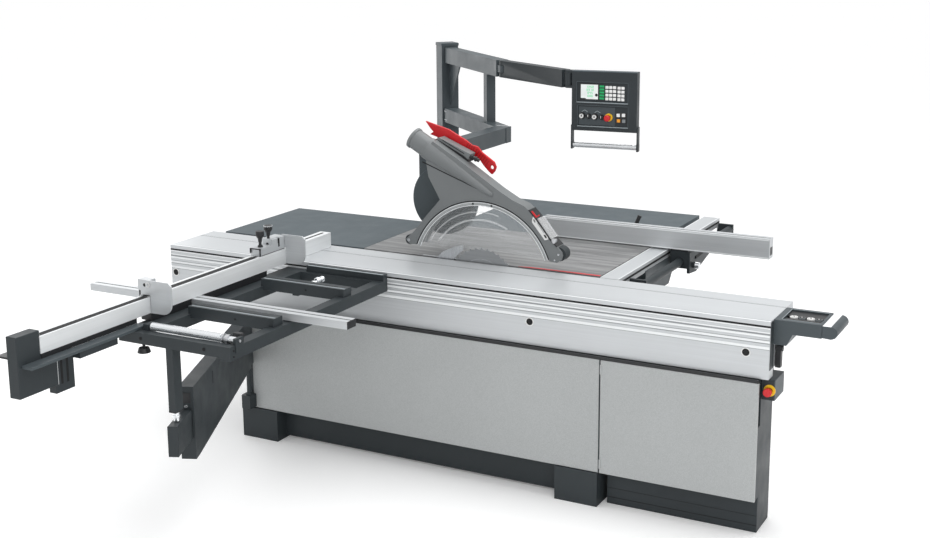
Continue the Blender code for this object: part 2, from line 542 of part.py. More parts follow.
def overhead():
    frame = empty("overhead_axis", (*POST, 0), BEAM_AZ, ROOT)
    FRAME.append(frame)
    part("post", "blue_grey", [
        block(-0.050, 0.050, -0.050, 0.050, 0.0, 1.775),
        block(-0.0525, 0.0525, -0.0525, 0.0525, 1.772, POST_H),
        block(-0.075, 0.075, -0.075, 0.075, 0.0, 0.012),
        prism([(0.049, 1.6740), (0.225, 1.6740), (0.049, 1.430)], "Y", -0.0040, 0.0040)])
    upper = part("beam_upper", "blue_grey", [
        block(0.0505, 0.860, -0.034, 0.034, 1.675, 1.760),
        block(0.850, BEAM_JOINT, -0.028, 0.028, 1.6995, 1.7355),
        cyl((BEAM_JOINT, 0, 1.6995), (BEAM_JOINT, 0, 1.7355), 0.028, 20),
    ], [cyl((BEAM_JOINT, 0, 1.65), (BEAM_JOINT, 0, 1.80), 0.0105, 16),
        block(BEAM_JOINT - 0.031, 0.95, -0.06, 0.06, 1.66, 1.699),
        block(BEAM_JOINT - 0.031, 0.95, -0.06, 0.06, 1.736, 1.78)])
    strut = block(0.650, 0.700, -0.025, 0.025, 1.410, 1.6745)
    low = block(0.0505, 0.900, -0.040, 0.040, 1.335, 1.415)
    FRAME.append(ROOT)
    end_cut = block(-0.2505, 0.100, 0.500, 0.8305, 1.300, 1.414)
    end_cut2 = block(-0.1695, 0.200, 0.500, 1.000, 1.300, 1.450)
    end_cut3 = block(-0.2505, 0.100, 0.500, 0.8305, 1.400, 1.450)
    FRAME.pop()
    part("beam_lower", "blue_grey", [low, strut], [end_cut, end_cut2, end_cut3])
    FRAME.pop()
    part("guard_beam", "blue_grey", [
        block(-0.250, -0.170, 0.062, 0.830, 1.335, 1.415),
        block(-0.250, -0.150, 0.0150, 0.080, 1.200, 1.414),
        cyl((-0.120, 0.0130, 1.178), (-0.120, 0.058, 1.178), 0.163, 40),
        block(-0.2505, -0.1695, 0.0585, 0.064, 1.330, 1.4155),
    ])
    pin = (POST[0] + BEAM_JOINT * math.cos(math.radians(BEAM_AZ)),
           POST[1] + BEAM_JOINT * math.sin(math.radians(BEAM_AZ)))
    c, s = math.cos(math.radians(PANEL_AZ)), math.sin(math.radians(PANEL_AZ))
    lx, ly = -0.022, PANEL_D / 2
    knuckle = (PANEL_O[0] + lx * c - ly * s, PANEL_O[1] + lx * s + ly * c)
    dx, dy = knuckle[0] - pin[0], knuckle[1] - pin[1]
    length = math.hypot(dx, dy)
    frame = empty("swing_arm_axis", (*pin, 0), math.degrees(math.atan2(dy, dx)), ROOT)
    FRAME.append(frame)
    part("swing_arm", "blue_grey", [
        block(0.034, length - 0.024, -0.025, 0.025, 1.675, 1.760),
        block(0.0, 0.040, -0.025, 0.025, 1.675, 1.698),
        block(0.0, 0.040, -0.025, 0.025, 1.737, 1.760),
        cyl((0, 0, 1.675), (0, 0, 1.698), 0.0275, 20),
        cyl((0, 0, 1.737), (0, 0, 1.760), 0.0275, 20),
        cyl((0, 0, 1.680), (0, 0, 1.755), 0.0100, 16),
        block(length - 0.030, length, -0.015, 0.015, 1.6885, 1.7465),
        cyl((length, 0, 1.6885), (length, 0, 1.7465), 0.0175, 18),
    ], [cyl((length, 0, 1.66), (length, 0, 1.78), 0.0085, 14),
        block(length - 0.022, length + 0.1, -0.03, 0.03, 1.66, 1.688),
        block(length - 0.022, length + 0.1, -0.03, 0.03, 1.747, 1.78)])
    FRAME.pop()
    return knuckle


# ---------------------------------------------------------------- control panel
def spot(px, py):
    """Panel positions from its left and top edges."""
    return px, PANEL_Z1 - py


KNOBS = {"panel_knob_1": (spot(0.0522, 0.2136), 0.0105, "white"), "panel_knob_2": (spot(0.1152, 0.2163), 0.0105, "white")}
ESTOP = spot(0.1787, 0.2200)
KEYS = {"panel_key_1": (spot(0.2299, 0.2047), "white"), "panel_key_2": (spot(0.2555, 0.2038), "white"),
        "panel_key_3": (spot(0.2314, 0.2309), "orange"), "panel_key_4": (spot(0.2570, 0.2315), "dark")}


def control_panel():
    frame = empty("panel_axis", (*PANEL_O, 0), PANEL_AZ, ROOT)
    FRAME.append(frame)
    lx, ly = -0.022, PANEL_D / 2
    adds = [
        block(0, PANEL_W, 0, PANEL_D, PANEL_Z0, PANEL_Z1),
        block(-0.005, 0.001, 0.006, 0.040, 1.385, 1.500),
        block(PANEL_W - 0.001, PANEL_W + 0.005, 0.006, 0.040, 1.385, 1.500),
    ]
    for z0, z1 in ((1.675, 1.6875), (1.7475, 1.760)):
        adds += [block(lx, 0.002, ly - 0.0175, ly + 0.0175, z0, z1), cyl((lx, ly, z0), (lx, ly, z1), 0.0175, 18)]
    adds.append(cyl((lx, ly, 1.680), (lx, ly, 1.755), 0.0080, 14))
    cuts = [block(0.0250, 0.2760, -0.01, 0.006, 1.612, 1.708),
            block(0.0290, 0.2780, -0.01, 0.006, 1.498, 1.597)]
    for (x, z), r, _ in KNOBS.values():
        cuts.append(cyl((x, 0.0, z), (x, 0.0160, z), 0.0062, 12))
    cuts.append(cyl((ESTOP[0], 0.0, ESTOP[1]), (ESTOP[0], 0.0200, ESTOP[1]), 0.0082, 14))
    for (x, z), _ in KEYS.values():
        cuts.append(block(x - 0.0085, x + 0.0085, 0.0, 0.0140, z - 0.0085, z + 0.0085))
    part("panel_housing", "blue_grey", adds, cuts)
    part("panel_handle", "chrome", [tube([(-0.0045 + 0.0055, 0.023, 1.402), (PANEL_W - 0.0015, 0.023, 1.402)], 0.0125, 3)],
         smooth=True)
    for name, ((x, z), r, finish) in KNOBS.items():
        part(name, finish, [cyl((x, -0.0110, z), (x, 0.0048, z), r, 16, r + 0.001),
                            cyl((x, 0.0, z), (x, 0.0150, z), 0.0055, 12)], pivot=(x, 0, z), smooth=True)
    x, z = ESTOP
    part("panel_estop", "red", [cyl((x, -0.0160, z), (x, -0.0030, z), 0.0135, 18, 0.0150),
                                cyl((x, -0.006, z), (x, 0.0130, z), 0.0075, 14)], pivot=(x, -0.003, z), smooth=True)
    for name, ((x, z), finish) in KEYS.items():
        part(name, finish, [block(x - 0.0078, x + 0.0078, -0.0010, 0.0095, z - 0.0078, z + 0.0078)], pivot=(x, -0.001, z))
    FRAME.pop()


# ---------------------------------------------------------------- rip fence
def rip():
    bx, bz = GUIDE_BAR
    part("fence_saddle", "dark", [
        block(0.795, 0.888, 0.600, 0.780, 0.822, 0.9070),
        block(0.800, 0.870, 0.658, 0.720, 0.900, 0.990),
        block(0.640, 0.870, 0.6580, 0.690, 0.9125, 0.990),
        prism([(0.600, 0.902), (0.600, 0.800), (0.700, 0.790), (0.900, 0.835), (0.900, 0.890)], "X", 0.880, 0.894),
        cyl((0.890, 0.640, 0.835), (0.915, 0.640, 0.835), 0.014, 14),
    ], [
        cyl((bx, 0.5, bz), (bx, 1.0, bz), GUIDE_BAR_R + 0.0007, 16),
        prism(arc(0.740, 0.862, 0.007, -90, 90, 4) + arc(0.680, 0.862, 0.007, 90, 270, 4), "X", 0.8885, 0.900),
    ])
    part("rip_fence", "alu", [
        prism([(0.120, 1.008), (0.120, 0.985), (0.196, 0.9125), (1.275, 0.9125), (1.275, 1.008)], "Y", 0.5970, 0.6570)], [
        block(0.250, 1.300, 0.612, 0.645, 0.925, 0.996),
        block(0.100, 1.300, 0.620, 0.632, 0.990, 1.020),
    ])
    part("fence_lever", "black", [
        cyl((0.560, 0.700, 0.945), (0.592, 0.720, 1.032), 0.0060, 12),
        cyl((0.560, 0.6915, 0.950), (0.560, 0.715, 0.950), 0.0110, 14),
    ], pivot=(0.560, 0.700, 0.950))
    # the lever's boss sits on the saddle's clamp plate
    return


base()
carriage()
crosscut()
support()
saw_unit()
guard()
overhead()
control_panel()
rip()
bpy.context.view_layer.update()
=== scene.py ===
"""Looks of the sliding-table panel saw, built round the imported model."""
import json
import math

import bmesh
import bpy
from mathutils import Matrix, Vector


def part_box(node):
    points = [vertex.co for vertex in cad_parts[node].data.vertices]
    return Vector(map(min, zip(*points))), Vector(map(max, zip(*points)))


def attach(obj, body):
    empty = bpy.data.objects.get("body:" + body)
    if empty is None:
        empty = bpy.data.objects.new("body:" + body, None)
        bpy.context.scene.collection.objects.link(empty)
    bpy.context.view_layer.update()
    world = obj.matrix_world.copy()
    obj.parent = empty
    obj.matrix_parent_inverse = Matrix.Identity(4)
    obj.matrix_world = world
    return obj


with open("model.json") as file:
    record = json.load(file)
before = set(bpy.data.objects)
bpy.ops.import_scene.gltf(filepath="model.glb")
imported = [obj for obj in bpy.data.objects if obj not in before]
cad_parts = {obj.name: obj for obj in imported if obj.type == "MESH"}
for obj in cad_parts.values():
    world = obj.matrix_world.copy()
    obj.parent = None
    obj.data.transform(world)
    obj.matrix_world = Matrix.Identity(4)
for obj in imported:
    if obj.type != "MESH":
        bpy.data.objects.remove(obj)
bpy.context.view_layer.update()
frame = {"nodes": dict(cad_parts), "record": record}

NODES = frame["nodes"]
_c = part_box("carriage")
OX, OY = _c[0][0] + 1.439, _c[0][1] + 0.389      # the design's own origin
OFF = Matrix.Translation((OX, OY, 0.0))
BODY = {n: b for b, ns in frame["record"]["behaviour"]["bodies"].items() for n in ns}
SLOT = {s["node"]: s["material_slot"] for s in frame["record"]["subparts"]}


def spin(x, y, deg):
    return OFF @ Matrix.Translation((x, y, 0)) @ Matrix.Rotation(math.radians(deg), 4, "Z")


PANEL = spin(0.328, 0.477, 5.8)
BEAMS = spin(-0.847, 1.386, -42.0)
ARM = spin(-0.955, -0.435, -66.53)

# ------------------------------------------------------------------ camera, light, floor
cam_data = bpy.data.cameras.new("camera")
cam = bpy.data.objects.new("camera", cam_data)
bpy.context.scene.collection.objects.link(cam)
yaw, pitch, roll = 2.0614, -0.2091, -0.0076
fwd = Vector((math.cos(yaw) * math.cos(pitch), math.sin(yaw) * math.cos(pitch), math.sin(pitch)))
right = Vector((math.sin(yaw), -math.cos(yaw), 0.0))
up = right.cross(fwd)
cr, sr = math.cos(roll), math.sin(roll)
right, up = cr * right + sr * up, -sr * right + cr * up
turn = Matrix((right, up, -fwd)).transposed().to_4x4()
cam.matrix_world = Matrix.Translation((2.9157 + OX, -5.4567 + OY, 2.4315)) @ turn
cam_data.sensor_width = 36.0
cam_data.lens = 36.0 * 1358.69 / 930.0
cam_data.shift_y = -54.0 / 930.0
cam_data.clip_end = 400.0
bpy.context.scene.camera = cam
bpy.context.scene.view_settings.view_transform = "Standard"

world = bpy.data.worlds.new("studio")
bpy.context.scene.world = world
world.use_nodes = True
sky = world.node_tree
sky_coord = sky.nodes.new("ShaderNodeTexCoord")
sky_split = sky.nodes.new("ShaderNodeSeparateXYZ")
sky_ramp = sky.nodes.new("ShaderNodeValToRGB")
sky_stops = sky_ramp.color_ramp.elements
sky_stops[0].position, sky_stops[0].color = 0.0, (0.50, 0.51, 0.52, 1.0)
sky_stops[1].position, sky_stops[1].color = 0.75, (1.0, 1.0, 1.0, 1.0)
sky.links.new(sky_coord.outputs["Generated"], sky_split.inputs[0])
sky.links.new(sky_split.outputs["Z"], sky_ramp.inputs["Fac"])
sky.links.new(sky_ramp.outputs["Color"], sky.nodes["Background"].inputs["Color"])
sky.nodes["Background"].inputs["Strength"].default_value = 1.0


def area(name, loc, target, size, power):
    data = bpy.data.lights.new(name, "AREA")
    data.shape = "RECTANGLE"
    data.size, data.size_y = size
    data.energy = power
    obj = bpy.data.objects.new(name, data)
    bpy.context.scene.collection.objects.link(obj)
    obj.location = loc
    obj.rotation_euler = (Vector(target) - Vector(loc)).to_track_quat("-Z", "Y").to_euler()
    return obj


area("top", (0.6, 1.2, 5.0), (0, 0, 0.8), (4.0, 4.0), 120)
area("front", (3.5, -4.5, 2.6), (0, 0, 0.7), (3.0, 2.0), 40)
area("back", (-4.5, 2.0, 1.6), (0, 0.0, 0.9), (2.0, 2.0), 25)


# ------------------------------------------------------------------ materials
def base_mat(name, colour, rough, metal=0.0):
    mat = bpy.data.materials.new(name)
    mat.use_nodes = True
    nt = mat.node_tree
    bsdf = nt.nodes["Principled BSDF"]
    bsdf.inputs["Roughness"].default_value = rough
    bsdf.inputs["Metallic"].default_value = metal
    bsdf.inputs["Base Color"].default_value = (*colour, 1)
    coord = nt.nodes.new("ShaderNodeTexCoord")
    return mat, nt, bsdf, coord


def noise(nt, vec, scale, detail=3.0, rough=0.55):
    n = nt.nodes.new("ShaderNodeTexNoise")
    n.inputs["Scale"].default_value = scale
    n.inputs["Detail"].default_value = detail
    n.inputs["Roughness"].default_value = rough
    nt.links.new(vec, n.inputs["Vector"])
    return n.outputs["Fac"]


def stretch(nt, vec, scale):
    m = nt.nodes.new("ShaderNodeMapping")
    m.inputs["Scale"].default_value = scale
    nt.links.new(vec, m.inputs["Vector"])
    return m.outputs["Vector"]


def ramp(nt, fac, stops):
    r = nt.nodes.new("ShaderNodeValToRGB")
    el = r.color_ramp.elements
    while len(el) < len(stops):
        el.new(0.5)
    for e, (pos, col) in zip(el, stops):
        e.position = pos
        e.color = (*col, 1)
    nt.links.new(fac, r.inputs["Fac"])
    return r.outputs["Color"]


def remap(nt, fac, lo, hi, a=0.3, b=0.7):
    m = nt.nodes.new("ShaderNodeMapRange")
    m.inputs["From Min"].default_value = a
    m.inputs["From Max"].default_value = b
    m.inputs["To Min"].default_value = lo
    m.inputs["To Max"].default_value = hi
    nt.links.new(fac, m.inputs["Value"])
    return m.outputs["Result"]


def bump(nt, bsdf, fac, strength, dist):
    b = nt.nodes.new("ShaderNodeBump")
    b.inputs["Strength"].default_value = strength
    b.inputs["Distance"].default_value = dist
    nt.links.new(fac, b.inputs["Height"])
    nt.links.new(b.outputs["Normal"], bsdf.inputs["Normal"])


def tint(colour, k):
    return tuple(min(1.0, c * k) for c in colour)


def edge_mask(nt, radius=0.0016):
    """1 on edges, where the painted edge highlight goes, 0 elsewhere."""
    bev = nt.nodes.new("ShaderNodeBevel")
    bev.samples = 4
    bev.inputs["Radius"].default_value = radius
    geo = nt.nodes.new("ShaderNodeNewGeometry")
    dot = nt.nodes.new("ShaderNodeVectorMath")
    dot.operation = "DOT_PRODUCT"
    nt.links.new(bev.outputs["Normal"], dot.inputs[0])
    nt.links.new(geo.outputs["Normal"], dot.inputs[1])
    return remap(nt, dot.outputs["Value"], 1.0, 0.0, 0.80, 0.97)


def paint(name, colour, rough=0.42, grain=700.0, strength=0.18, vary=0.10, speckle=0.0, edge_highlight=0.35, shine=0.30):
    """Powder coat: fine orange-peel grain, a slow drift of tone, and a painted highlight that makes the edges paler."""
    mat, nt, bsdf, coord = base_mat(name, colour, rough)
    bsdf.inputs["Specular IOR Level"].default_value = shine
    vec = coord.outputs["Object"]
    slow = noise(nt, vec, 2.3, 4.0)
    fine = noise(nt, vec, grain, 2.0)
    col = ramp(nt, slow, ((0.3, tint(colour, 1 - vary)), (0.7, tint(colour, 1 + vary))))
    if speckle:
        dots = noise(nt, vec, 420.0, 1.0)
        spots = ramp(nt, dots, ((0.38, tint(colour, 1 - speckle)), (0.62, tint(colour, 1 + speckle))))
        mix = nt.nodes.new("ShaderNodeMix")
        mix.data_type = "RGBA"
        mix.inputs["Factor"].default_value = 0.5
        nt.links.new(col, mix.inputs["A"])
        nt.links.new(spots, mix.inputs["B"])
        col = mix.outputs["Result"]
    # Paler edges: a painted highlight for the light that the edges catch.
    if edge_highlight:
        edges = nt.nodes.new("ShaderNodeMath")
        edges.operation = "MULTIPLY"
        edges.inputs[1].default_value = edge_highlight
        nt.links.new(edge_mask(nt), edges.inputs[0])
        mix = nt.nodes.new("ShaderNodeMix")
        mix.data_type = "RGBA"
        nt.links.new(edges.outputs[0], mix.inputs["Factor"])
        nt.links.new(col, mix.inputs["A"])
        mix.inputs["B"].default_value = (*tint(colour, 2.6), 1)
        col = mix.outputs["Result"]
    nt.links.new(col, bsdf.inputs["Base Color"])
    nt.links.new(remap(nt, noise(nt, vec, 9.0, 3.0), rough - 0.06, rough + 0.08), bsdf.inputs["Roughness"])
    bump(nt, bsdf, fine, strength, 0.0004)
    return mat


def metal(name, colour, rough, axis, streak=0.10, fine=1500.0, metallic=1.0, strength=0.06, cloud=0.05):
    """Metal with a grain along one axis: extruded, ground or brushed."""
    mat, nt, bsdf, coord = base_mat(name, colour, rough, metallic)
    vec = coord.outputs["Object"]
    scale = {"X": (0.6, fine / 12, fine / 12), "Y": (fine / 12, 0.6, fine / 12), "Z": (fine / 12, fine / 12, 0.6)}[axis]
    lines = noise(nt, stretch(nt, vec, scale), 1.0, 4.0, 0.6)
    cloudy = noise(nt, vec, 3.0, 3.0)
    col = ramp(nt, lines, ((0.30, tint(colour, 1 - streak)), (0.70, tint(colour, 1 + streak))))
    drift = ramp(nt, cloudy, ((0.3, tint(colour, 1 - cloud)), (0.7, tint(colour, 1 + cloud))))
    mix = nt.nodes.new("ShaderNodeMix")
    mix.data_type = "RGBA"
    mix.inputs["Factor"].default_value = 0.4
    nt.links.new(col, mix.inputs["A"])
    nt.links.new(drift, mix.inputs["B"])
    nt.links.new(mix.outputs["Result"], bsdf.inputs["Base Color"])
    nt.links.new(remap(nt, lines, rough - 0.07, rough + 0.09), bsdf.inputs["Roughness"])
    bump(nt, bsdf, lines, strength, 0.0002)
    return mat


def plastic(name, colour, rough=0.38, grain=900.0, strength=0.08, vary=0.05, glow=0.0):
    mat, nt, bsdf, coord = base_mat(name, colour, rough)
    vec = coord.outputs["Object"]
    col = ramp(nt, noise(nt, vec, 30.0, 2.0), ((0.3, tint(colour, 1 - vary)), (0.7, tint(colour, 1 + vary))))
    nt.links.new(col, bsdf.inputs["Base Color"])
    nt.links.new(remap(nt, noise(nt, vec, 60.0), rough - 0.05, rough + 0.06), bsdf.inputs["Roughness"])
    bump(nt, bsdf, noise(nt, vec, grain, 1.0), strength, 0.0002)
    if glow:
        bsdf.inputs["Emission Color"].default_value = (*colour, 1)
        bsdf.inputs["Emission Strength"].default_value = glow
    return mat


def iron_top(name):
    """Ground cast iron: long uneven streaks along X, with scuffs and small pits."""
    mat, nt, bsdf, coord = base_mat(name, (0.24, 0.24, 0.235), 0.42, 0.35)
    vec = coord.outputs["Object"]
    wide = noise(nt, stretch(nt, vec, (2.2, 30.0, 30.0)), 1.0, 6.0, 0.72)
    fine = noise(nt, stretch(nt, vec, (1.4, 160.0, 160.0)), 1.0, 4.0, 0.6)
    col_a = ramp(nt, wide, ((0.38, (0.105, 0.107, 0.108)), (0.50, (0.21, 0.213, 0.214)), (0.61, (0.39, 0.394, 0.396))))
    col_b = ramp(nt, fine, ((0.30, (0.17, 0.172, 0.174)), (0.70, (0.33, 0.333, 0.335))))
    mix = nt.nodes.new("ShaderNodeMix")
    mix.data_type = "RGBA"
    mix.inputs["Factor"].default_value = 0.4
    nt.links.new(col_a, mix.inputs["A"])
    nt.links.new(col_b, mix.inputs["B"])
    pits = noise(nt, vec, 90.0, 2.0, 0.5)
    spot = nt.nodes.new("ShaderNodeMix")
    spot.data_type = "RGBA"
    nt.links.new(remap(nt, pits, 0.0, 0.7, 0.70, 0.76), spot.inputs["Factor"])
    nt.links.new(mix.outputs["Result"], spot.inputs["A"])
    spot.inputs["B"].default_value = (0.08, 0.075, 0.07, 1)
    nt.links.new(spot.outputs["Result"], bsdf.inputs["Base Color"])
    nt.links.new(remap(nt, wide, 0.34, 0.52), bsdf.inputs["Roughness"])
    bump(nt, bsdf, fine, 0.06, 0.0002)
    return mat


M = {
    "dark": paint("dark", (0.032, 0.039, 0.043), 0.44, 800, 0.16, 0.10, edge_highlight=0.30),
    "blue": paint("blue_grey", (0.066, 0.080, 0.088), 0.42, 800, 0.12, 0.06, edge_highlight=0.35),
    "table": paint("table_grey", (0.098, 0.118, 0.129), 0.55, 650, 0.16, 0.04, edge_highlight=0.25, shine=0.16),
    "panel": paint("panel_grey", (0.425, 0.44, 0.44), 0.46, 420, 0.20, 0.05, speckle=0.22, edge_highlight=0.30),
    "rim": paint("window_rim", (0.36, 0.375, 0.38), 0.35, 900, 0.04, 0.04, edge_highlight=0.0),
    "hood": paint("hood_grey", (0.185, 0.196, 0.200), 0.34, 900, 0.08, 0.06, edge_highlight=0.20),
    "fence": metal("fence_anodised", (0.80, 0.82, 0.83), 0.42, "Y", 0.05, metallic=0.25, strength=0.03),
    "alu_x": metal("anodised_x", (0.60, 0.62, 0.635), 0.40, "X", 0.07, metallic=0.5, strength=0.03),
    "alu_y": metal("anodised_y", (0.60, 0.62, 0.635), 0.40, "Y", 0.07, metallic=0.5, strength=0.03),
    # The next three are mostly painted light. The two pale ones lay thin strips of painted highlight on lit edges and
    # ledges, and the dark one lays lines of painted shade.
    "pale_alu_and_highlight_x": metal("pale_alu_and_highlight_x", (0.86, 0.88, 0.89), 0.34, "X", 0.03, metallic=0.15, strength=0.02),
    "painted_shade_x": metal("painted_shade_x", (0.30, 0.315, 0.325), 0.42, "X", 0.05, metallic=0.4, strength=0.02),
    "pale_alu_and_highlight_y": metal("pale_alu_and_highlight_y", (0.86, 0.88, 0.89), 0.34, "Y", 0.03, metallic=0.15, strength=0.02),
    "iron": iron_top("ground_iron"),
    "cast": metal("cast", (0.30, 0.31, 0.32), 0.55, "X", 0.10, 300, 0.6, 0.2),
    "steel": metal("ground_steel", (0.62, 0.63, 0.65), 0.28, "Z", 0.10),
    "blade": metal("blade_steel", (0.34, 0.35, 0.36), 0.34, "X", 0.12, 1100, 0.6),
    "chrome": metal("chrome", (0.84, 0.86, 0.88), 0.16, "X", 0.03, metallic=0.9, strength=0.0),
    "black": plastic("black", (0.014, 0.015, 0.017), 0.42),
    # Near-black fill. It is mostly painted shadow in slots, gaps, grooves and openings, and is also used for a few real
    # black marks.
    "shadow": plastic("black_and_painted_shadow", (0.004, 0.004, 0.005), 0.7),
    "white": plastic("white", (0.78, 0.78, 0.77), 0.32),
    # The white keys glow faintly: painted light, since the keys hold no lamp.
    "key": plastic("white_key_painted_glow", (0.85, 0.85, 0.84), 0.35, glow=0.05),
    "red": plastic("red", (0.62, 0.012, 0.018), 0.32),
    "red_deep": plastic("red_deep", (0.30, 0.006, 0.010), 0.36),
    "green": plastic("green", (0.01, 0.42, 0.13), 0.35),
    "lit": plastic("lit_green", (0.03, 0.62, 0.24), 0.3, glow=0.25),
    "yellow": plastic("yellow", (0.85, 0.52, 0.01), 0.35),
    "orange": plastic("orange", (0.88, 0.34, 0.02), 0.35),
    "grey": plastic("grey", (0.22, 0.24, 0.25), 0.4),
    # Pale blue-grey strips: painted highlight on the slat tops, the panel ledges and the console rim, and also the
    # printed chevrons by the knobs.
    "lightline": paint("ledge", (0.30, 0.34, 0.36), 0.4, edge_highlight=0.0),
    "screen": plastic("screen", (0.82, 0.86, 0.84), 0.18, glow=0.12),
}


def clear(name):
    mat, nt, bsdf, coord = base_mat(name, (0.93, 0.95, 0.96), 0.06)
    vec = coord.outputs["Object"]
    nt.links.new(remap(nt, noise(nt, vec, 14.0, 4.0), 0.03, 0.14), bsdf.inputs["Roughness"])
    nt.links.new(ramp(nt, noise(nt, vec, 6.0), ((0.3, (0.90, 0.93, 0.94)), (0.7, (0.96, 0.97, 0.98)))), bsdf.inputs["Base Color"])
    bump(nt, bsdf, noise(nt, stretch(nt, vec, (40, 40, 3)), 1.0), 0.02, 0.0004)
    bsdf.inputs["IOR"].default_value = 1.45
    bsdf.inputs["Alpha"].default_value = 0.05
    mat.surface_render_method = "BLENDED"
    return mat


M["clear"] = clear("clear_guard")
# A less clear copy of the guard's plastic, laid on as painted glints and reflections on the window and the hood leg.
M["glint"] = clear("painted_glint_clear")
M["glint"].node_tree.nodes["Principled BSDF"].inputs["Alpha"].default_value = 0.28


# ------------------------------------------------------------------ mesh tools
def finish_piece(name, mesh, mat, body, width=0.0008, segs=2, smooth=True):
    mesh.materials.clear()
    mesh.materials.append(M[mat])
    obj = bpy.data.objects.new(name, mesh)
    bpy.context.scene.collection.objects.link(obj)
    if width:
        mod = obj.modifiers.new("edges", "BEVEL")
        mod.width = width
        mod.segments = segs
        mod.limit_method = "ANGLE"
        mod.angle_limit = math.radians(32)
        mod.use_clamp_overlap = True
        mod.harden_normals = True
    if smooth:
        mesh.shade_smooth()
        mesh.set_sharp_from_angle(angle=math.radians(32))
    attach(obj, body)
    return obj


def to_mesh(bm, name, place):
    bmesh.ops.transform(bm, matrix=place, verts=bm.verts)
    mesh = bpy.data.meshes.new(name)
    bm.to_mesh(mesh)
    bm.free()
    return mesh


def dress(node, mat, width=0.0014, segs=2, zones=()):
    """The node keeps its shape: its finish, with its flat faces rejoined and its edges rounded by modifiers.
    zones gives other finishes to the faces whose middle lies in a box, in the design's own frame."""
    obj = NODES[node]
    mesh = obj.data
    if "custom_normal" in mesh.attributes:
        mesh.attributes.remove(mesh.attributes["custom_normal"])
    mesh.materials.clear()
    for key in [mat] + [z[0] for z in zones]:
        mesh.materials.append(M[key])
    for poly in mesh.polygons:
        poly.use_smooth = True
        poly.material_index = 0
        c = poly.center - Vector((OX, OY, 0))
        for i, (_, lo, hi) in enumerate(zones):
            if all(lo[k] <= c[k] <= hi[k] for k in range(3)):
                poly.material_index = i + 1
    weld = obj.modifiers.new("weld", "WELD")
    weld.merge_threshold = 0.00001
    flat = obj.modifiers.new("flat", "DECIMATE")
    flat.decimate_type = "DISSOLVE"
    flat.angle_limit = math.radians(0.6)
    flat.delimit = {"MATERIAL"}
    if width:
        mod = obj.modifiers.new("edges", "BEVEL")
        mod.width = width
        mod.segments = segs
        mod.limit_method = "ANGLE"
        mod.angle_limit = math.radians(32)
        mod.harden_normals = True
    else:
        split = obj.modifiers.new("split", "EDGE_SPLIT")
        split.split_angle = math.radians(30)
    return obj


def add_box(bm, x0, x1, y0, y1, z0, z1):
    m = Matrix.Translation(((x0 + x1) / 2, (y0 + y1) / 2, (z0 + z1) / 2)) @ Matrix.Diagonal((x1 - x0, y1 - y0, z1 - z0, 1))
    bmesh.ops.create_cube(bm, size=1.0, matrix=m)


def add_cyl(bm, p0, p1, r, r2=None, seg=24):
    p0, p1 = Vector(p0), Vector(p1)
    d = p1 - p0
    rot = Vector((0, 0, 1)).rotation_difference(d).to_matrix().to_4x4()
    bmesh.ops.create_cone(bm, cap_ends=True, segments=seg, radius1=r, radius2=r if r2 is None else r2, depth=d.length,
                          matrix=Matrix.Translation((p0 + p1) / 2) @ rot)


def add_ring(bm, p0, p1, r_in, r_out, seg=32):
    """A flat washer between p0 and p1."""
    p0, p1 = Vector(p0), Vector(p1)
    d = p1 - p0
    rot = Vector((0, 0, 1)).rotation_difference(d).to_matrix()
    rows = []
    for p, r in ((p0, r_in), (p0, r_out), (p1, r_out), (p1, r_in)):
        rows.append([bm.verts.new(p + rot @ Vector((r * math.cos(a), r * math.sin(a), 0)))
                     for a in (2 * math.pi * i / seg for i in range(seg))])
    for k in range(4):
        a, b = rows[k], rows[(k + 1) % 4]
        for i in range(seg):
            j = (i + 1) % seg
            bm.faces.new((a[i], a[j], b[j], b[i]))
    bmesh.ops.recalc_face_normals(bm, faces=bm.faces)


def add_prism(bm, pts, axis, a, b):
    place = {"X": lambda u, v, w: (w, u, v), "Y": lambda u, v, w: (u, w, v), "Z": lambda u, v, w: (u, v, w)}[axis]
    lo = [bm.verts.new(place(u, v, a)) for u, v in pts]
    hi = [bm.verts.new(place(u, v, b)) for u, v in pts]
    faces = [bm.faces.new(lo), bm.faces.new(list(reversed(hi)))]
    n = len(pts)
    for i in range(n):
        faces.append(bm.faces.new((lo[i], hi[i], hi[(i + 1) % n], lo[(i + 1) % n])))
    bmesh.ops.recalc_face_normals(bm, faces=faces)


def piece(name, mat, body, shapes, place=OFF, width=0.0006, segs=2):
    """One piece of boxes, cylinders, rings and outlines, edges rounded."""
    bm = bmesh.new()
    for kind, *args in shapes:
        {"box": add_box, "cyl": add_cyl, "ring": add_ring, "prism": add_prism}[kind](bm, *args)
    return finish_piece(name, to_mesh(bm, name, place), mat, body, width, segs)


def arc(cx, cy, r, a0, a1, n):
    return [(cx + r * math.cos(math.radians(a0 + (a1 - a0) * i / n)),
             cy + r * math.sin(math.radians(a0 + (a1 - a0) * i / n))) for i in range(n + 1)]


def screw(x, y, z, axis="Y", r=0.005, h=0.002, sign=-1):
    """A socket screw's head as two shapes."""
    d = {"X": (1, 0, 0), "Y": (0, 1, 0), "Z": (0, 0, 1)}[axis]
    p0 = Vector((x, y, z))
    p1 = p0 + Vector(d) * h * sign
    return [("cyl", p0, p1, r, r * 0.92, 16), ("ring", p1 - Vector(d) * h * sign * 0.2, p1 + Vector(d) * sign * 0.0006, r * 0.45, r * 0.9, 16)]


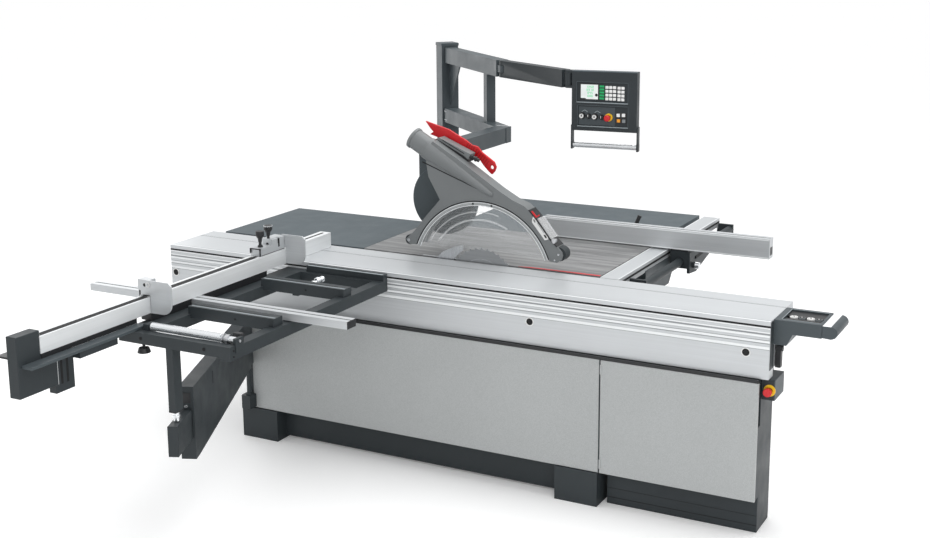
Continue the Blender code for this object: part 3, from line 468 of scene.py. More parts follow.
# ------------------------------------------------------------------ the frame's nodes
SKINS = {
    "base_frame": ("dark", 0.003), "front_panel": ("panel", 0.002), "cabinet_right": ("dark", 0.002), "cabinet_door": ("panel", 0.002),
    "guide_rail": ("steel", 0.001), "carriage": ("alu_x", 0.0016), "table_cast_iron": ("iron", 0.0015), "table_rear": ("table", 0.0015),
    "table_rip": ("table", 0.0015), "table_leg": ("dark", 0.0018), "cross_rail": ("alu_y", 0.0015), "post": ("blue", 0.003),
    "beam_upper": ("blue", 0.0025), "beam_lower": ("blue", 0.0025), "guard_beam": ("blue", 0.0025), "swing_arm": ("dark", 0.0025),
    "estop_box": ("blue", 0.003), "console_tray": ("blue", 0.002), "push_handle": ("blue", 0.002), "carriage_lock": ("black", 0.002),
    "crosscut_frame": ("dark", 0.0015), "levelling_knob": ("black", 0.0015), "support_bar": ("alu_x", 0.0015),
    "fence_profile": ("fence", 0.0015), "fence_extension": ("fence", 0.0012), "stop_inner": ("alu_y", 0.0012),
    "stop_outer": ("alu_y", 0.0012), "stop_inner_flap": ("alu_x", 0.0010), "stop_outer_flap": ("alu_x", 0.0010),
    "support_arm": ("dark", 0.002), "support_arm_inner": ("dark", 0.002), "saw_trunnion": ("cast", 0.002), "saw_arm": ("cast", 0.0015),
    "drive_motor": ("blue", 0.003), "main_blade": ("blade", 0.0), "scoring_blade": ("blade", 0.0003), "riving_knife": ("steel", 0.0004),
    "hood": ("hood", 0.0025), "hood_window": ("clear", 0.0004), "hood_roller_rear": ("dark", 0.002), "hood_roller_front": ("dark", 0.002),
    "push_stick": ("red", 0.002), "panel_housing": ("dark", 0.002), "panel_handle": ("chrome", 0.0008), "panel_estop": ("red", 0.002),
    "panel_knob_1": ("black", 0.001), "panel_knob_2": ("black", 0.001), "panel_key_1": ("key", 0.001), "panel_key_2": ("key", 0.001),
    "panel_key_3": ("orange", 0.001), "panel_key_4": ("grey", 0.001), "fence_saddle": ("dark", 0.0015), "rip_fence": ("alu_x", 0.0012),
    "fence_lever": ("black", 0.001), "front_roller": ("chrome", 0.001), "estop_box_button": ("red", 0.002),
    "console_button_1": ("white", 0.001), "console_button_2": ("black", 0.001), "console_button_3": ("white", 0.001),
    "console_button_4": ("black", 0.001),
}
ZONES = {
    "cross_rail": [("dark", (0.7830, -1, 0.80), (0.90, 2, 0.90)), ("blue", (0.69, 0.29, 0.70), (0.79, 0.69, 0.8615))],
    # The top face of the push handle is painted pale: a painted highlight on the dark handle.
    "push_handle": [("pale_alu_and_highlight_y", (1.75, -0.34, 0.9070), (1.786, -0.15, 0.91))],
}
for node, (mat, width) in SKINS.items():
    dress(node, mat, width, zones=ZONES.get(node, ()))

# ------------------------------------------------------------------ sliding carriage
YF = -0.389
# Carriage face: strips of painted highlight where the ledges catch the light, plain anodised strips between them, and
# lines of painted shade under the ledges.
for key, rows in (("pale_alu_and_highlight_x", ((0.8790, 0.8840), (0.8610, 0.8665), (0.8445, 0.8535), (0.8215, 0.8310), (0.7950, 0.8065))),
                  ("alu_x", ((0.8670, 0.8785), (0.8340, 0.8440), (0.8070, 0.8175))),
                  ("painted_shade_x", ((0.8540, 0.8605), (0.8315, 0.8335), (0.8180, 0.8210), (0.7925, 0.7945)))):
    piece("carriage_%s" % key, key, "carriage", [
        ("box", -1.4385, 1.5605, YF - (0.0016 if key == "pale_alu_and_highlight_x" else 0.0010 if key == "alu_x" else 0.0004), YF + 0.002, lo, hi) for lo, hi in rows], width=0.0004)
piece("carriage_seam", "shadow", "carriage", [
    ("box", -1.4385, 1.5608, YF - 0.0002, YF + 0.004, 0.8845, 0.8925),
        ("box", -1.4385, 1.5608, -0.1600, -0.1560, 0.9050, 0.9094)], width=0.0)
piece("carriage_top_lines", "grey", "carriage", [
    ("box", -1.4385, 1.5605, -0.3735, -0.3718, 0.909, 0.91015),
    ("box", -1.4385, 1.5605, -0.1505, -0.1496, 0.909, 0.91012)], width=0.0)
piece("carriage_end_cap", "dark", "carriage", [("box", -1.4415, -1.4388, -0.386, -0.203, 0.710, 0.907), ("box", -1.4412, -1.4388, -0.203, -0.055, 0.803, 0.907)], width=0.001)
piece("carriage_end_plate", "dark", "carriage", [("box", 1.5611, 1.5630, -0.3835, -0.3320, 0.708, 0.8060), ("box", 1.5611, 1.5630, -0.2680, -0.2030, 0.708, 0.8060), ("box", 1.5611, 1.5630, -0.3835, -0.3500, 0.806, 0.9060)], width=0.001)
# Painted highlight along the carriage's far top edge.
piece("carriage_far_edge", "pale_alu_and_highlight_x", "carriage", [("box", -1.4385, 1.5605, -0.3888, -0.3800, 0.9085, 0.9103)], width=0.0006)
for i, x in enumerate((-1.410, 0.519, 1.466)):
    piece("carriage_plug_%d" % i, "shadow", "carriage", [("cyl", (x, YF - 0.0022, 0.774), (x, YF, 0.774), 0.0150, 0.0150, 32)], width=0.0004)
    piece("carriage_plug_rim_%d" % i, "white", "carriage", [("ring", (x, YF - 0.0026, 0.774), (x, YF, 0.774), 0.0152, 0.0192, 40)], width=0.0005)
piece("console_rim", "lightline", "carriage", [
    ("box", 1.5865, 1.7395, -0.3290, -0.3262, 0.9095, 0.9112), ("box", 1.5865, 1.7395, -0.1708, -0.1680, 0.9095, 0.9112),
    ("box", 1.5865, 1.5893, -0.3290, -0.1680, 0.9095, 0.9112)], width=0.0006)
piece("console_floor", "black", "carriage", [("box", 1.5886, 1.7375, -0.3265, -0.2785, 0.8925, 0.9035), ("box", 1.5886, 1.7375, -0.2455, -0.1705, 0.8925, 0.9035)], width=0.0005)
for i, x in enumerate((1.619, 1.651, 1.686, 1.718)):
    pale = i % 2 == 0
    piece("console_ring_%d" % i, "white" if pale else "grey", "carriage", [("ring", (x, -0.262, 0.8935), (x, -0.262, 0.9075), 0.0112, 0.0158 if pale else 0.0138, 36)], width=0.0008)
    piece("console_cap_%d" % i, "white" if pale else "black", "console_button_%d" % (i + 1), [("cyl", (x, -0.262, 0.8985), (x, -0.262, 0.9088), 0.0100, 0.0094, 30)], width=0.0006)
    piece("console_mark_%d" % i, "shadow" if pale else "white", "console_button_%d" % (i + 1),
          [("cyl", (x, -0.262, 0.9082), (x, -0.262, 0.9092), 0.0048 if pale else 0.0034, 0.0044 if pale else 0.0030, 18)], width=0.0002)

# ------------------------------------------------------------------ base and cabinet
piece("base_trim", "black", "machine", [("box", -0.950, 1.5265, -0.4090, -0.3970, 0.6572, 0.6700)], width=0.001)
piece("plinth_seam", "shadow", "machine", [("box", 0.8705, 1.5255, -0.3527, -0.3510, 0.0300, 0.0325), ("box", 0.8705, 1.5255, -0.3527, -0.3510, 0.0720, 0.0735)], width=0.0)
piece("panel_edges", "dark", "machine", [
    ("box", 0.8490, 0.8535, -0.4082, -0.4045, 0.156, 0.656), ("box", -0.9545, -0.9510, -0.4082, -0.395, 0.156, 0.656)], width=0.0006)
piece("estop_ring", "yellow", "machine", [("ring", (1.5600, -0.3645, 0.6200), (1.5600, -0.3598, 0.6200), 0.0125, 0.0240, 40)], width=0.0006)
piece("estop_box_lid", "dark", "machine", [("box", 1.5305, 1.5770, -0.3612, -0.3590, 0.5800, 0.6610)]
      + sum([screw(x, -0.3612, z, r=0.0024, h=0.001) for x in (1.5345, 1.573) for z in (0.584, 0.657)], []), width=0.0005)

# ------------------------------------------------------------------ tables
piece("red_lip", "red", "machine", [("prism", [(0.290, -0.0268), (0.690, -0.0268), (0.690, -0.0120), (0.350, -0.0120)], "Z", 0.9094, 0.9112)], width=0.0003)
piece("table_insert", "alu_x", "machine", [("box", -0.215, 0.235, -0.0278, -0.0120, 0.9092, 0.9106)]
      + sum([[("cyl", (x, -0.0200, 0.9100), (x, -0.0200, 0.9112), 0.0035, 0.0030, 14)] for x in (-0.200, 0.010, 0.220)], []), width=0.0003)
# Painted highlight along the rail's top edges.
piece("cross_rail_edges", "pale_alu_and_highlight_y", "machine", [("box", 0.6945, 0.6985, -0.028, 1.410, 0.9056, 0.9066), ("box", 0.7770, 0.7810, -0.028, 1.410, 0.9056, 0.9066)], width=0.0003)
piece("cross_rail_groove", "shadow", "machine", [("box", 0.7815, 0.7828, -0.028, 1.410, 0.882, 0.892)], width=0.0)
piece("guide_bar_ends", "black", "machine", [("cyl", (0.842, 0.094, 0.852), (0.842, 0.101, 0.852), 0.019, 0.021, 24), ("cyl", (0.842, 1.404, 0.852), (0.842, 1.410, 0.852), 0.021, 0.019, 24)], width=0.001)
piece("table_joint", "shadow", "machine", [("box", -0.5418, -0.5402, -0.0278, 0.6285, 0.875, 0.9096), ("box", -0.399, 0.670, 0.6288, 0.6312, 0.876, 0.9096)], width=0.0)

# ------------------------------------------------------------------ crosscut table
# Painted highlight along the top of each slat.
piece("slat_strips", "lightline", "crosscut_table", [
    ("box", -0.632, -0.206, -0.7180, -0.7090, 0.9090, 0.9103), ("box", -0.632, -0.212, -1.2180, -1.2090, 0.9090, 0.9103),
    ("box", -0.600, -0.196, -0.4245, -0.4120, 0.9040, 0.9062)], width=0.0004)
piece("slat_slots", "shadow", "crosscut_table", [
    ("box", -0.629, -0.251, -0.7038, -0.6962, 0.8990, 0.9092), ("box", -0.629, -0.251, -1.2038, -1.1962, 0.8990, 0.9092),
    ("box", -0.600, -0.200, -0.4100, -0.4050, 0.9000, 0.9056)], width=0.0)
bolts = sum([screw(x, -1.5400, 0.858, r=0.0075, h=0.0015) for x in (-0.626, -0.313)], [])
bolts += sum([screw(-0.1900, -1.515, z, "X", 0.0045, 0.0015, 1) for z in (0.838, 0.862)], [])
bolts += sum([screw(x, y, 0.885, r=0.0045, h=0.0015) for x, y in ((-0.40, -0.7300), (-0.40, -1.2300))], [])
piece("crosscut_bolts", "shadow", "crosscut_table", bolts, width=0.0003)
piece("roller_stop", "black", "crosscut_table", [("box", -0.236, -0.200, -1.456, -1.436, 0.8760, 0.9120), ("cyl", (-0.240, -1.446, 0.9000), (-0.196, -1.446, 0.9000), 0.0105, 0.0105, 22)], width=0.0015)
piece("clamp_knob", "chrome", "crosscut_table", [
    ("ring", (-0.4520, -0.5700, 0.8800), (-0.4470, -0.5560, 0.8830), 0.0060, 0.0175, 30), ("cyl", (-0.4450, -0.5500, 0.8840), (-0.4400, -0.5350, 0.8870), 0.0150, 0.0135, 30),
    ("cyl", (-0.4530, -0.5900, 0.8760), (-0.4400, -0.5300, 0.8880), 0.0080, 0.0080, 20), ("cyl", (-0.4560, -0.6020, 0.8740), (-0.4530, -0.5880, 0.8765), 0.0140, 0.0140, 26)], width=0.0010)
piece("clamp_rod", "steel", "crosscut_table", [("cyl", (-0.33, -0.66, 0.862), (-0.27, -0.66, 0.862), 0.008, 0.008, 16), ("cyl", (-0.470, -0.620, 0.868), (-0.250, -0.620, 0.868), 0.005, 0.005, 14)], width=0.0005)
piece("front_roller_sleeve", "chrome", "front_roller", [("ring", (-0.6120, -1.482, 0.893), (-0.2680, -1.482, 0.893), 0.0130, 0.0182, 40)], width=0.0015)
piece("roller_brackets", "steel", "crosscut_table", [("cyl", (-0.186, -1.482, 0.893), (-0.181, -1.482, 0.893), 0.006, 0.005, 18),
      ("ring", (-0.262, -1.482, 0.893), (-0.254, -1.482, 0.893), 0.0142, 0.0200, 30), ("ring", (-0.249, -1.482, 0.893), (-0.232, -1.482, 0.893), 0.0142, 0.0186, 30)], width=0.0006)
piece("leg_cap", "black", "crosscut_table", [("box", -0.503, -0.468, -1.541, -1.492, 0.5720, 0.5770)], width=0.001)
piece("leg_pin", "chrome", "crosscut_table", [("cyl", (-0.4855, -1.5165, 0.5335), (-0.4855, -1.5165, 0.5725), 0.0125, 0.0125, 26), ("ring", (-0.4855, -1.5165, 0.550), (-0.4855, -1.5165, 0.558), 0.010, 0.0155, 28)], width=0.001)
piece("support_bar_cap", "black", "support_bar", [("box", 0.0735, 0.0765, -1.1318, -1.0702, 0.8778, 0.9095)], width=0.0008)
piece("support_bar_slot", "shadow", "support_bar", [("box", -1.2665, 0.0735, -1.1046, -1.0974, 0.9000, 0.9090)], width=0.0)

# ------------------------------------------------------------------ crosscut fence and stops
piece("fence_slot", "shadow", "crosscut_fence", [("box", -0.7412, -0.7158, -1.3840, -0.6600, 0.9800, 0.9823), ("box", -0.7342, -0.7208, -0.6600, -0.1000, 0.9800, 0.9820),
    ("box", -0.7160, -0.7085, -1.3840, -0.6600, 0.9810, 0.9828)], width=0.0)
piece("fence_foot", "black", "crosscut_fence", [("box", -0.7560, -0.7015, -1.3840, -0.6000, 0.8785, 0.9108)], width=0.001)
# A black web that fills the gap between the extension and the rail: painted shadow standing for the shade there.
piece("extension_shadow_web", "black", "fence_extension", [("box", -0.7530, -0.7020, -1.9860, -1.4700, 0.8925, 0.9132)], width=0.0005)
# Lines of painted highlight along the edges of the fence face.
piece("fence_face_lines", "pale_alu_and_highlight_y", "crosscut_fence", [
    ("box", -0.6985, -0.69785, -1.3800, -0.0790, 0.9110, 0.9135), ("box", -0.6985, -0.69785, -1.3800, -0.4610, 0.9755, 0.9785), ("box", -0.7565, -0.7500, -1.3770, -0.6420, 0.9816, 0.9824)], width=0.0004)
piece("extension_slot", "shadow", "fence_extension", [("box", -0.7392, -0.7178, -1.9800, -1.3850, 0.9765, 0.9791),
    ("box", -0.7180, -0.7095, -1.9800, -1.3900, 0.9780, 0.97915)], width=0.0)
piece("extension_column", "dark", "fence_extension", [
    ("box", -0.7545, -0.7040, -2.1012, -1.9860, 0.7690, 1.0030), ("box", -0.7545, -0.7045, -2.0000, -1.9080, 0.7690, 0.8820)], width=0.003)
piece("extension_channel", "dark", "fence_extension", [("box", -0.7465, -0.7105, -1.9165, -1.8190, 0.7335, 0.8822)], width=0.002)
piece("channel_slots", "shadow", "fence_extension", [("box", -0.7110, -0.7100, -1.890 + 0.03 * i, -1.878 + 0.03 * i, 0.765, 0.860) for i in range(2)]
      + [("cyl", (-0.729, -2.045, 0.9905), (-0.729, -2.045, 0.9925), 0.006, 0.006, 18)], width=0.0003)
piece("extension_rail_top", "blue", "fence_extension", [
    ("prism", [(-0.7072, -1.9850), (-0.7072, -2.0822), (-0.6535, -2.0822), (-0.6535, -1.475), (-0.662, -1.464), (-0.6905, -1.464), (-0.7010, -1.475), (-0.7010, -1.88), (-0.7072, -1.90)], "Z", 0.8820, 0.8936)], width=0.0015)
piece("extension_rail_web", "dark", "fence_extension", [("box", -0.6985, -0.6590, -1.8360, -1.6310, 0.8560, 0.8822)], width=0.0015)
piece("extension_fin", "black", "fence_extension", [("prism", [(-2.096, 0.9130), (-2.029, 0.9130), (-2.029, 0.9212), (-2.096, 0.9212)], "X", -0.8130, -0.7545)], width=0.001)
for tag, body, y, side in (("inner", "stop_inner", -0.4540, 1), ("outer", "stop_outer", -1.3805, -1)):
    ya = y + 0.0004 * side
    piece("flap_hub_" + tag, "white", "%s_flap" % body, [("ring", (-0.708, ya + (0.007 if side > 0 else -0.0085), 1.030), (-0.708, ya + (0.009 if side > 0 else -0.0105), 1.030), 0.0062, 0.011, 24)], width=0.0005)
piece("stop_outer_eye", "shadow", "stop_outer", [("cyl", (-0.735, -1.3790, 1.024), (-0.735, -1.3775, 1.024), 0.0070, 0.0070, 20), ("cyl", (-0.7705, -1.357, 1.024), (-0.769, -1.357, 1.024), 0.007, 0.007, 20)], width=0.0003)
piece("stop_outer_clamp", "black", "stop_outer", [("box", -0.7700, -0.7590, -1.374, -1.339, 0.955, 1.000), ("cyl", (-0.764, -1.357, 0.940), (-0.764, -1.357, 0.958), 0.012, 0.009, 20)], width=0.0012)
piece("stop_inner_gap", "shadow", "stop_inner", [("box", -0.7030, -0.7015, -0.5060, -0.4950, 1.001, 1.040), ("box", -0.7022, -0.7008, -0.6380, -0.4580, 0.9840, 0.9858)], width=0.0)
piece("stop_inner_cover", "alu_y", "stop_inner", [("box", -0.7120, -0.7025, -0.5480, -0.5080, 1.017, 1.043), ("box", -0.712, -0.7030, -0.4940, -0.4570, 1.017, 1.043)], width=0.0012)


for i, (y, z) in enumerate(((-0.604, 1.068), (-0.541, 1.083))):
    piece("stop_knob_%d" % i, "black", "stop_inner", [
        ("cyl", (-0.730, y, z + 0.004), (-0.730, y, z + 0.0235), 0.0200, 0.0190, 36), ("cyl", (-0.730, y, z - 0.012), (-0.730, y, z + 0.004), 0.0100, 0.0200, 30),
        ("cyl", (-0.730, y, z - 0.026), (-0.730, y, z - 0.012), 0.0085, 0.0100, 24),
        ("cyl", (-0.730, y, 1.018), (-0.730, y, z - 0.018), 0.0068, 0.0068, 16), ("cyl", (-0.730, y, 1.017), (-0.730, y, 1.027), 0.0125, 0.0105, 18)], width=0.0012)
piece("stop_bracket", "black", "stop_inner", [
    ("box", -0.757, -0.7005, -0.6480, -0.6400, 1.0150, 1.0190), ("box", -0.757, -0.7535, -0.6480, -0.6400, 0.9960, 1.0190), ("box", -0.7040, -0.7005, -0.6480, -0.6400, 0.9840, 1.0190)], width=0.0008)

# ------------------------------------------------------------------ support arm
piece("support_arm_slot", "shadow", "support_arm", [("prism", arc(0.745, 0.590, 0.0066, 0, 180, 8) + arc(0.745, 0.545, 0.0066, 180, 360, 8), "Y", 0.0287, 0.0300)], place=ARM, width=0.0)
piece("support_arm_pads", "black", "support_arm", [("box", 1.0385, 1.0425, -0.0190, 0.0190, 0.5560, 0.6000)], place=ARM, width=0.001)
piece("support_arm_stop", "chrome", "support_arm", [("cyl", (1.036, 0.0, 0.5440), (1.050, 0.0, 0.5440), 0.0070, 0.0060, 18)], place=ARM, width=0.0006)
piece("inner_arm_end", "dark", "support_arm_inner", [("box", 1.2375, 1.2415, -0.0212, 0.0212, 0.4045, 0.5312)], place=ARM, width=0.002)
piece("hinge_bolts", "dark", "machine", [("cyl", (-0.955, -0.435, 0.6455), (-0.955, -0.435, 0.6510), 0.010, 0.009, 6), ("cyl", (-0.955, -0.435, 0.1600), (-0.955, -0.435, 0.1655), 0.009, 0.010, 6),
                                          ("ring", (-0.955, -0.435, 0.2252), (-0.955, -0.435, 0.2350), 0.0128, 0.018, 28)], width=0.0005)

# ------------------------------------------------------------------ blade guard
RF = -0.075
d = Vector((math.cos(math.radians(-29.6)), 0, math.sin(math.radians(-29.6))))
end = Vector((-0.246, -0.040, 1.473))
tip = Vector((0.178, -0.0760, 1.2440))
start = end + d * 0.104 + Vector((0, -0.0060, 0))
piece("hood_ridge", "hood", "hood", [("cyl", start, start + (tip - start) * 0.5, 0.0500, 0.0310, 56), ("cyl", start + (tip - start) * 0.5, tip, 0.0310, 0.0105, 56)], width=0.0)
piece("hood_ridge_line", "shadow", "hood", [("prism", [(tip.x + 0.004, tip.z - 0.009), (start.x - 0.026, start.z - 0.0555), (start.x - 0.024, start.z - 0.0515), (tip.x + 0.005, tip.z - 0.0065)], "Y", -0.0764, -0.0740)], width=0.0)
piece("hood_ridge_tip", "hood", "hood", [("cyl", tip, tip + (tip - start).normalized() * 0.008, 0.0105, 0.0050, 32)], width=0.0015)
piece("hood_leg_trim", "black", "hood", [
    ("prism", [(0.3620, 1.1880), (0.3670, 1.1915), (0.4060, 1.1510), (0.4010, 1.1465)], "Y", -0.0775, -0.0080),
    ("prism", [(0.4010, 1.1465), (0.4060, 1.1510), (0.4740, 1.0660), (0.4690, 1.0620)], "Y", -0.0775, -0.0080),
    ("prism", [(0.4690, 1.0620), (0.4740, 1.0660), (0.5060, 1.0360), (0.5020, 1.0320)], "Y", -0.0775, -0.0080)], width=0.0008)
piece("hood_leg_cover", "glint", "hood", [
    ("prism", [(0.4060, 1.1530), (0.4110, 1.1560), (0.4800, 1.0700), (0.4750, 1.0660)], "Y", -0.0760, -0.0100)], width=0.0005)
piece("hood_leg_fitting", "steel", "hood", [("cyl", (0.489, -0.079, 1.056), (0.489, -0.060, 1.056), 0.0080, 0.0070, 20), ("box", 0.478, 0.498, -0.0785, -0.060, 1.0560, 1.0680)], width=0.0010)
piece("hood_collar", "hood", "hood", [
    ("ring", end + d * 0.088, end + d * 0.104, 0.0455, 0.0525, 48), ("ring", end - d * 0.001, end + d * 0.012, 0.0450, 0.0515, 48),
    ("ring", end + d * 0.108, end + d * 0.112, 0.0470, 0.0505, 48)], width=0.0012)
piece("hood_collar_gap", "shadow", "hood", [("ring", end + d * 0.1045, end + d * 0.1080, 0.0460, 0.0500, 48), ("ring", end + d * 0.004, end + d * 0.006, 0.0300, 0.0455, 40)], width=0.0)
piece("hood_mouth", "shadow", "hood", [("cyl", end - d * 0.0018, end + d * 0.010, 0.0400, 0.0400, 48)], width=0.0)
piece("hood_mouth_ring", "rim", "hood", [("ring", end - d * 0.0030, end + d * 0.0080, 0.0400, 0.0470, 48)], width=0.0010)
AX, AZ_, AR = 0.123, 0.844, 0.364


def band(r0, r1, a0, a1, n=40):
    return arc(AX, AZ_, r1, a0, a1, n) + arc(AX, AZ_, r0, a1, a0, n)


def add_band(bm, r0, r1, a0, a1, y0, y1, n=44):
    rows = []
    for i in range(n + 1):
        a = math.radians(a0 + (a1 - a0) * i / n)
        c, s = math.cos(a), math.sin(a)
        rows.append([bm.verts.new((AX + r * c, y, AZ_ + r * s)) for r, y in ((r0, y0), (r1, y0), (r1, y1), (r0, y1))])
    faces = []
    for a, b in zip(rows, rows[1:]):
        for k in range(4):
            faces.append(bm.faces.new((a[k], a[(k + 1) % 4], b[(k + 1) % 4], b[k])))
    faces.append(bm.faces.new(rows[0]))
    faces.append(bm.faces.new(list(reversed(rows[-1]))))
    bmesh.ops.recalc_face_normals(bm, faces=faces)


def bands(name, mat, body, specs, width=0.0006):
    bm = bmesh.new()
    for spec in specs:
        add_band(bm, *spec)
    return finish_piece(name, to_mesh(bm, name, OFF), mat, body, width)


bands("window_rim", "rim", "hood", [(0.3460, 0.3600, 20.5, 159.0, RF - 0.0012, RF + 0.0030), (0.3440, 0.3600, 20.5, 159.0, -0.0080, -0.0042)], 0.0008)
# Pale bands of painted highlight on the edges of the window rim.
bands("window_rim_inner", "pale_alu_and_highlight_x", "hood", [(0.3420, 0.3450, 20.5, 159.0, RF - 0.0004, RF + 0.0030), (0.3565, 0.3590, 20.5, 159.0, RF - 0.0018, RF + 0.0010)], 0.0004)
bands("window_shadow", "shadow", "hood", [(0.3603, 0.3655, 20.5, 159.0, RF - 0.0003, RF + 0.0030)], 0.0)
bands("hood_lip", "hood", "hood", [(0.3660, 0.3730, 20.5, 158.0, RF - 0.0014, RF + 0.0030)], 0.0010)
bands("window_glint", "glint", "hood", [(0.2700, 0.2790, 62, 146, -0.0640, -0.0632), (0.3080, 0.3130, 74, 150, -0.0640, -0.0632)], 0.0)
bands("window_inner_guard", "clear", "hood", [(0.2300, 0.2600, 60, 150, -0.0640, -0.0620)], 0.0003)
rim_bolts = []
for a in (81.0, 96.5):
    x, z = AX + 0.352 * math.cos(math.radians(a)), AZ_ + 0.352 * math.sin(math.radians(a))
    rim_bolts.append(("cyl", (x, RF - 0.0022, z), (x, RF, z), 0.0050, 0.0050, 16))
piece("window_screws", "shadow", "hood", rim_bolts, width=0.0003)
# slotted bracket plate beside the window
u = Vector((0.105, 0, -0.112)).normalized()
v = Vector((u.z, 0, -u.x))
p0 = Vector((0.4115, 0, 1.1450))


def along(s, t):
    q = p0 + u * s - v * t
    return (q.x, q.z)


piece("bracket_plate", "white", "hood", [("prism", [(0.3870, 1.1640), (0.3960, 1.1590), (0.4370, 1.1330), (0.4380, 1.1240), (0.4930, 1.0640), (0.4880, 1.0590), (0.4440, 1.0600), (0.3820, 1.1340), (0.3820, 1.1420)][:1]
    + [(0.4060, 1.1440), (0.4600, 1.0740), (0.4620, 1.0640), (0.4440, 1.0590), (0.3820, 1.1340), (0.3810, 1.1420)], "Y", RF - 0.0020, RF + 0.0005)], width=0.0005)
piece("bracket_slots", "hood", "hood", [
    ("prism", [(0.3900, 1.1540), (0.3990, 1.1420), (0.3970, 1.1330), (0.3880, 1.1440)], "Y", RF - 0.0024, RF - 0.0015)], width=0.0)
piece("bracket_window", "black", "hood", [
    ("prism", [(0.4380, 1.0840), (0.4480, 1.0840), (0.4560, 1.0700), (0.4480, 1.0690)], "Y", RF - 0.0024, RF - 0.0015)], width=0.0)
piece("bracket_line", "grey", "hood", [
    ("prism", [(0.4050, 1.1350), (0.4070, 1.1360), (0.4420, 1.0920), (0.4400, 1.0905)], "Y", RF - 0.0023, RF - 0.0015)], width=0.0)
piece("red_pointer", "red", "hood", [
    ("prism", [(0.3780, 1.1850), (0.3835, 1.1880), (0.4060, 1.1640), (0.4010, 1.1590)], "Y", RF - 0.0060, RF - 0.0005),
    ("prism", [(0.4010, 1.1620), (0.4050, 1.1590), (0.4200, 1.1700), (0.4160, 1.1740)], "Y", RF - 0.0060, RF - 0.0005)], width=0.0005)
piece("hood_screws", "steel", "hood", sum([screw(x, RF, z, r=0.0050, h=0.0018) for x, z in ((0.511, 0.999), (-0.132, 1.420))], [])
      + [("cyl", (0.492, RF - 0.0012, 0.972), (0.492, RF, 0.972), 0.0040, 0.0040, 16), ("cyl", (-0.260, RF - 0.003, 0.989), (-0.260, RF, 0.989), 0.0075, 0.0075, 20)], width=0.0005)
piece("carrier_rim", "table", "machine", [("ring", (-0.120, 0.0125, 1.178), (-0.120, 0.0585, 1.178), 0.1595, 0.1640, 64)], width=0.0015)
# push stick, its ribs and its holder
ribs = []
path = [(-0.0019, 1.4365), (0.0346, 1.4204), (0.0708, 1.3926), (0.1043, 1.3661)]
for i in range(11):
    t = i / 10.0 * (len(path) - 1)
    k = min(int(t), len(path) - 2)
    f = t - k
    x, z = path[k][0] + (path[k + 1][0] - path[k][0]) * f, path[k][1] + (path[k + 1][1] - path[k][1]) * f
    dx, dz = path[k + 1][0] - path[k][0], path[k + 1][1] - path[k][1]
    n = math.hypot(dx, dz)
    tx, tz, nx, nz = dx / n, dz / n, -dz / n, dx / n
    h = 0.0200 - 0.0045 * i / 10.0
    ribs.append(("prism", [(x - tx * 0.0013 - nx * h, z - tz * 0.0013 - nz * h), (x + tx * 0.0013 - nx * h, z + tz * 0.0013 - nz * h),
                           (x + tx * 0.0013 + nx * h, z + tz * 0.0013 + nz * h), (x - tx * 0.0013 + nx * h, z - tz * 0.0013 + nz * h)], "Y", 0.0285, 0.0435))
piece("push_stick_ribs", "red_deep", "push_stick", ribs, width=0.0006)
# A black strip under the holder: a real base strip, and also painted shade beneath the holder.
piece("stick_holder_base_and_shade", "black", "hood", [
    ("prism", [(-0.1438, 1.4692), (-0.1250, 1.4560), (0.0200, 1.3740), (0.0357, 1.3757), (0.0357, 1.3860), (0.0120, 1.4049), (-0.1059, 1.4620)], "Y", -0.0300, 0.0200)], width=0.0015)
piece("stick_holder", "hood", "hood", [
    ("prism", [(-0.1295, 1.4692), (-0.1167, 1.4804), (0.0479, 1.4130), (0.0357, 1.3857), (0.0120, 1.4020), (-0.1059, 1.4600)], "Y", -0.0300, 0.0220)], width=0.002)
piece("stick_holder_slot", "shadow", "hood", [("prism", [(-0.1000, 1.4680), (-0.0980, 1.4710), (0.0160, 1.4150), (0.0140, 1.4120)], "Y", -0.0308, -0.0290)], width=0.0)
piece("holder_knob", "black", "hood", [("cyl", (0.0430, -0.022, 1.4020), (0.0880, -0.022, 1.3850), 0.0100, 0.0085, 20), ("ring", (0.0500, -0.022, 1.3994), (0.0570, -0.022, 1.3967), 0.009, 0.0130, 22),
                                      ("ring", (0.0680, -0.022, 1.3926), (0.0750, -0.022, 1.3899), 0.008, 0.0120, 22)], width=0.0012)

# ------------------------------------------------------------------ overhead beams
piece("beam_end_cap", "pale_alu_and_highlight_x", "machine", [("box", -0.2515, -0.1685, 0.8300, 0.8330, 1.3335, 1.4165)], width=0.001)
piece("beam_end_plate", "blue", "machine", [("box", -0.1705, -0.1672, 0.7750, 0.8320, 1.3340, 1.4160)], width=0.001)
piece("beam_bolts", "steel", "machine", sum([screw(x, -0.0402, z, r=0.004, h=0.0015) for x in (0.065, 0.085) for z in (1.350, 1.400)], []), place=BEAMS, width=0.0003)
piece("beam_joint_gap", "shadow", "machine", [("box", 0.0498, 0.0535, -0.0405, 0.0405, 1.3345, 1.4155), ("box", 0.0498, 0.0535, -0.0345, 0.0345, 1.6745, 1.7605)], place=BEAMS, width=0.0)
piece("post_cap_edge", "blue", "machine", [("box", -0.0530, 0.0530, -0.0530, 0.0530, 1.7700, 1.7735)], place=BEAMS, width=0.0005)
piece("post_foot_bolts", "steel", "machine", [("cyl", (sx * 0.062, sy * 0.062, 0.0118), (sx * 0.062, sy * 0.062, 0.0200), 0.0080, 0.0075, 6) for sx in (-1, 1) for sy in (-1, 1)], place=BEAMS, width=0.0006)

# ------------------------------------------------------------------ control panel
Z1 = 1.760


def pbox(x0, x1, v0, v1, y0, y1):
    return ("box", x0, x1, y0, y1, Z1 - v1, Z1 - v0)


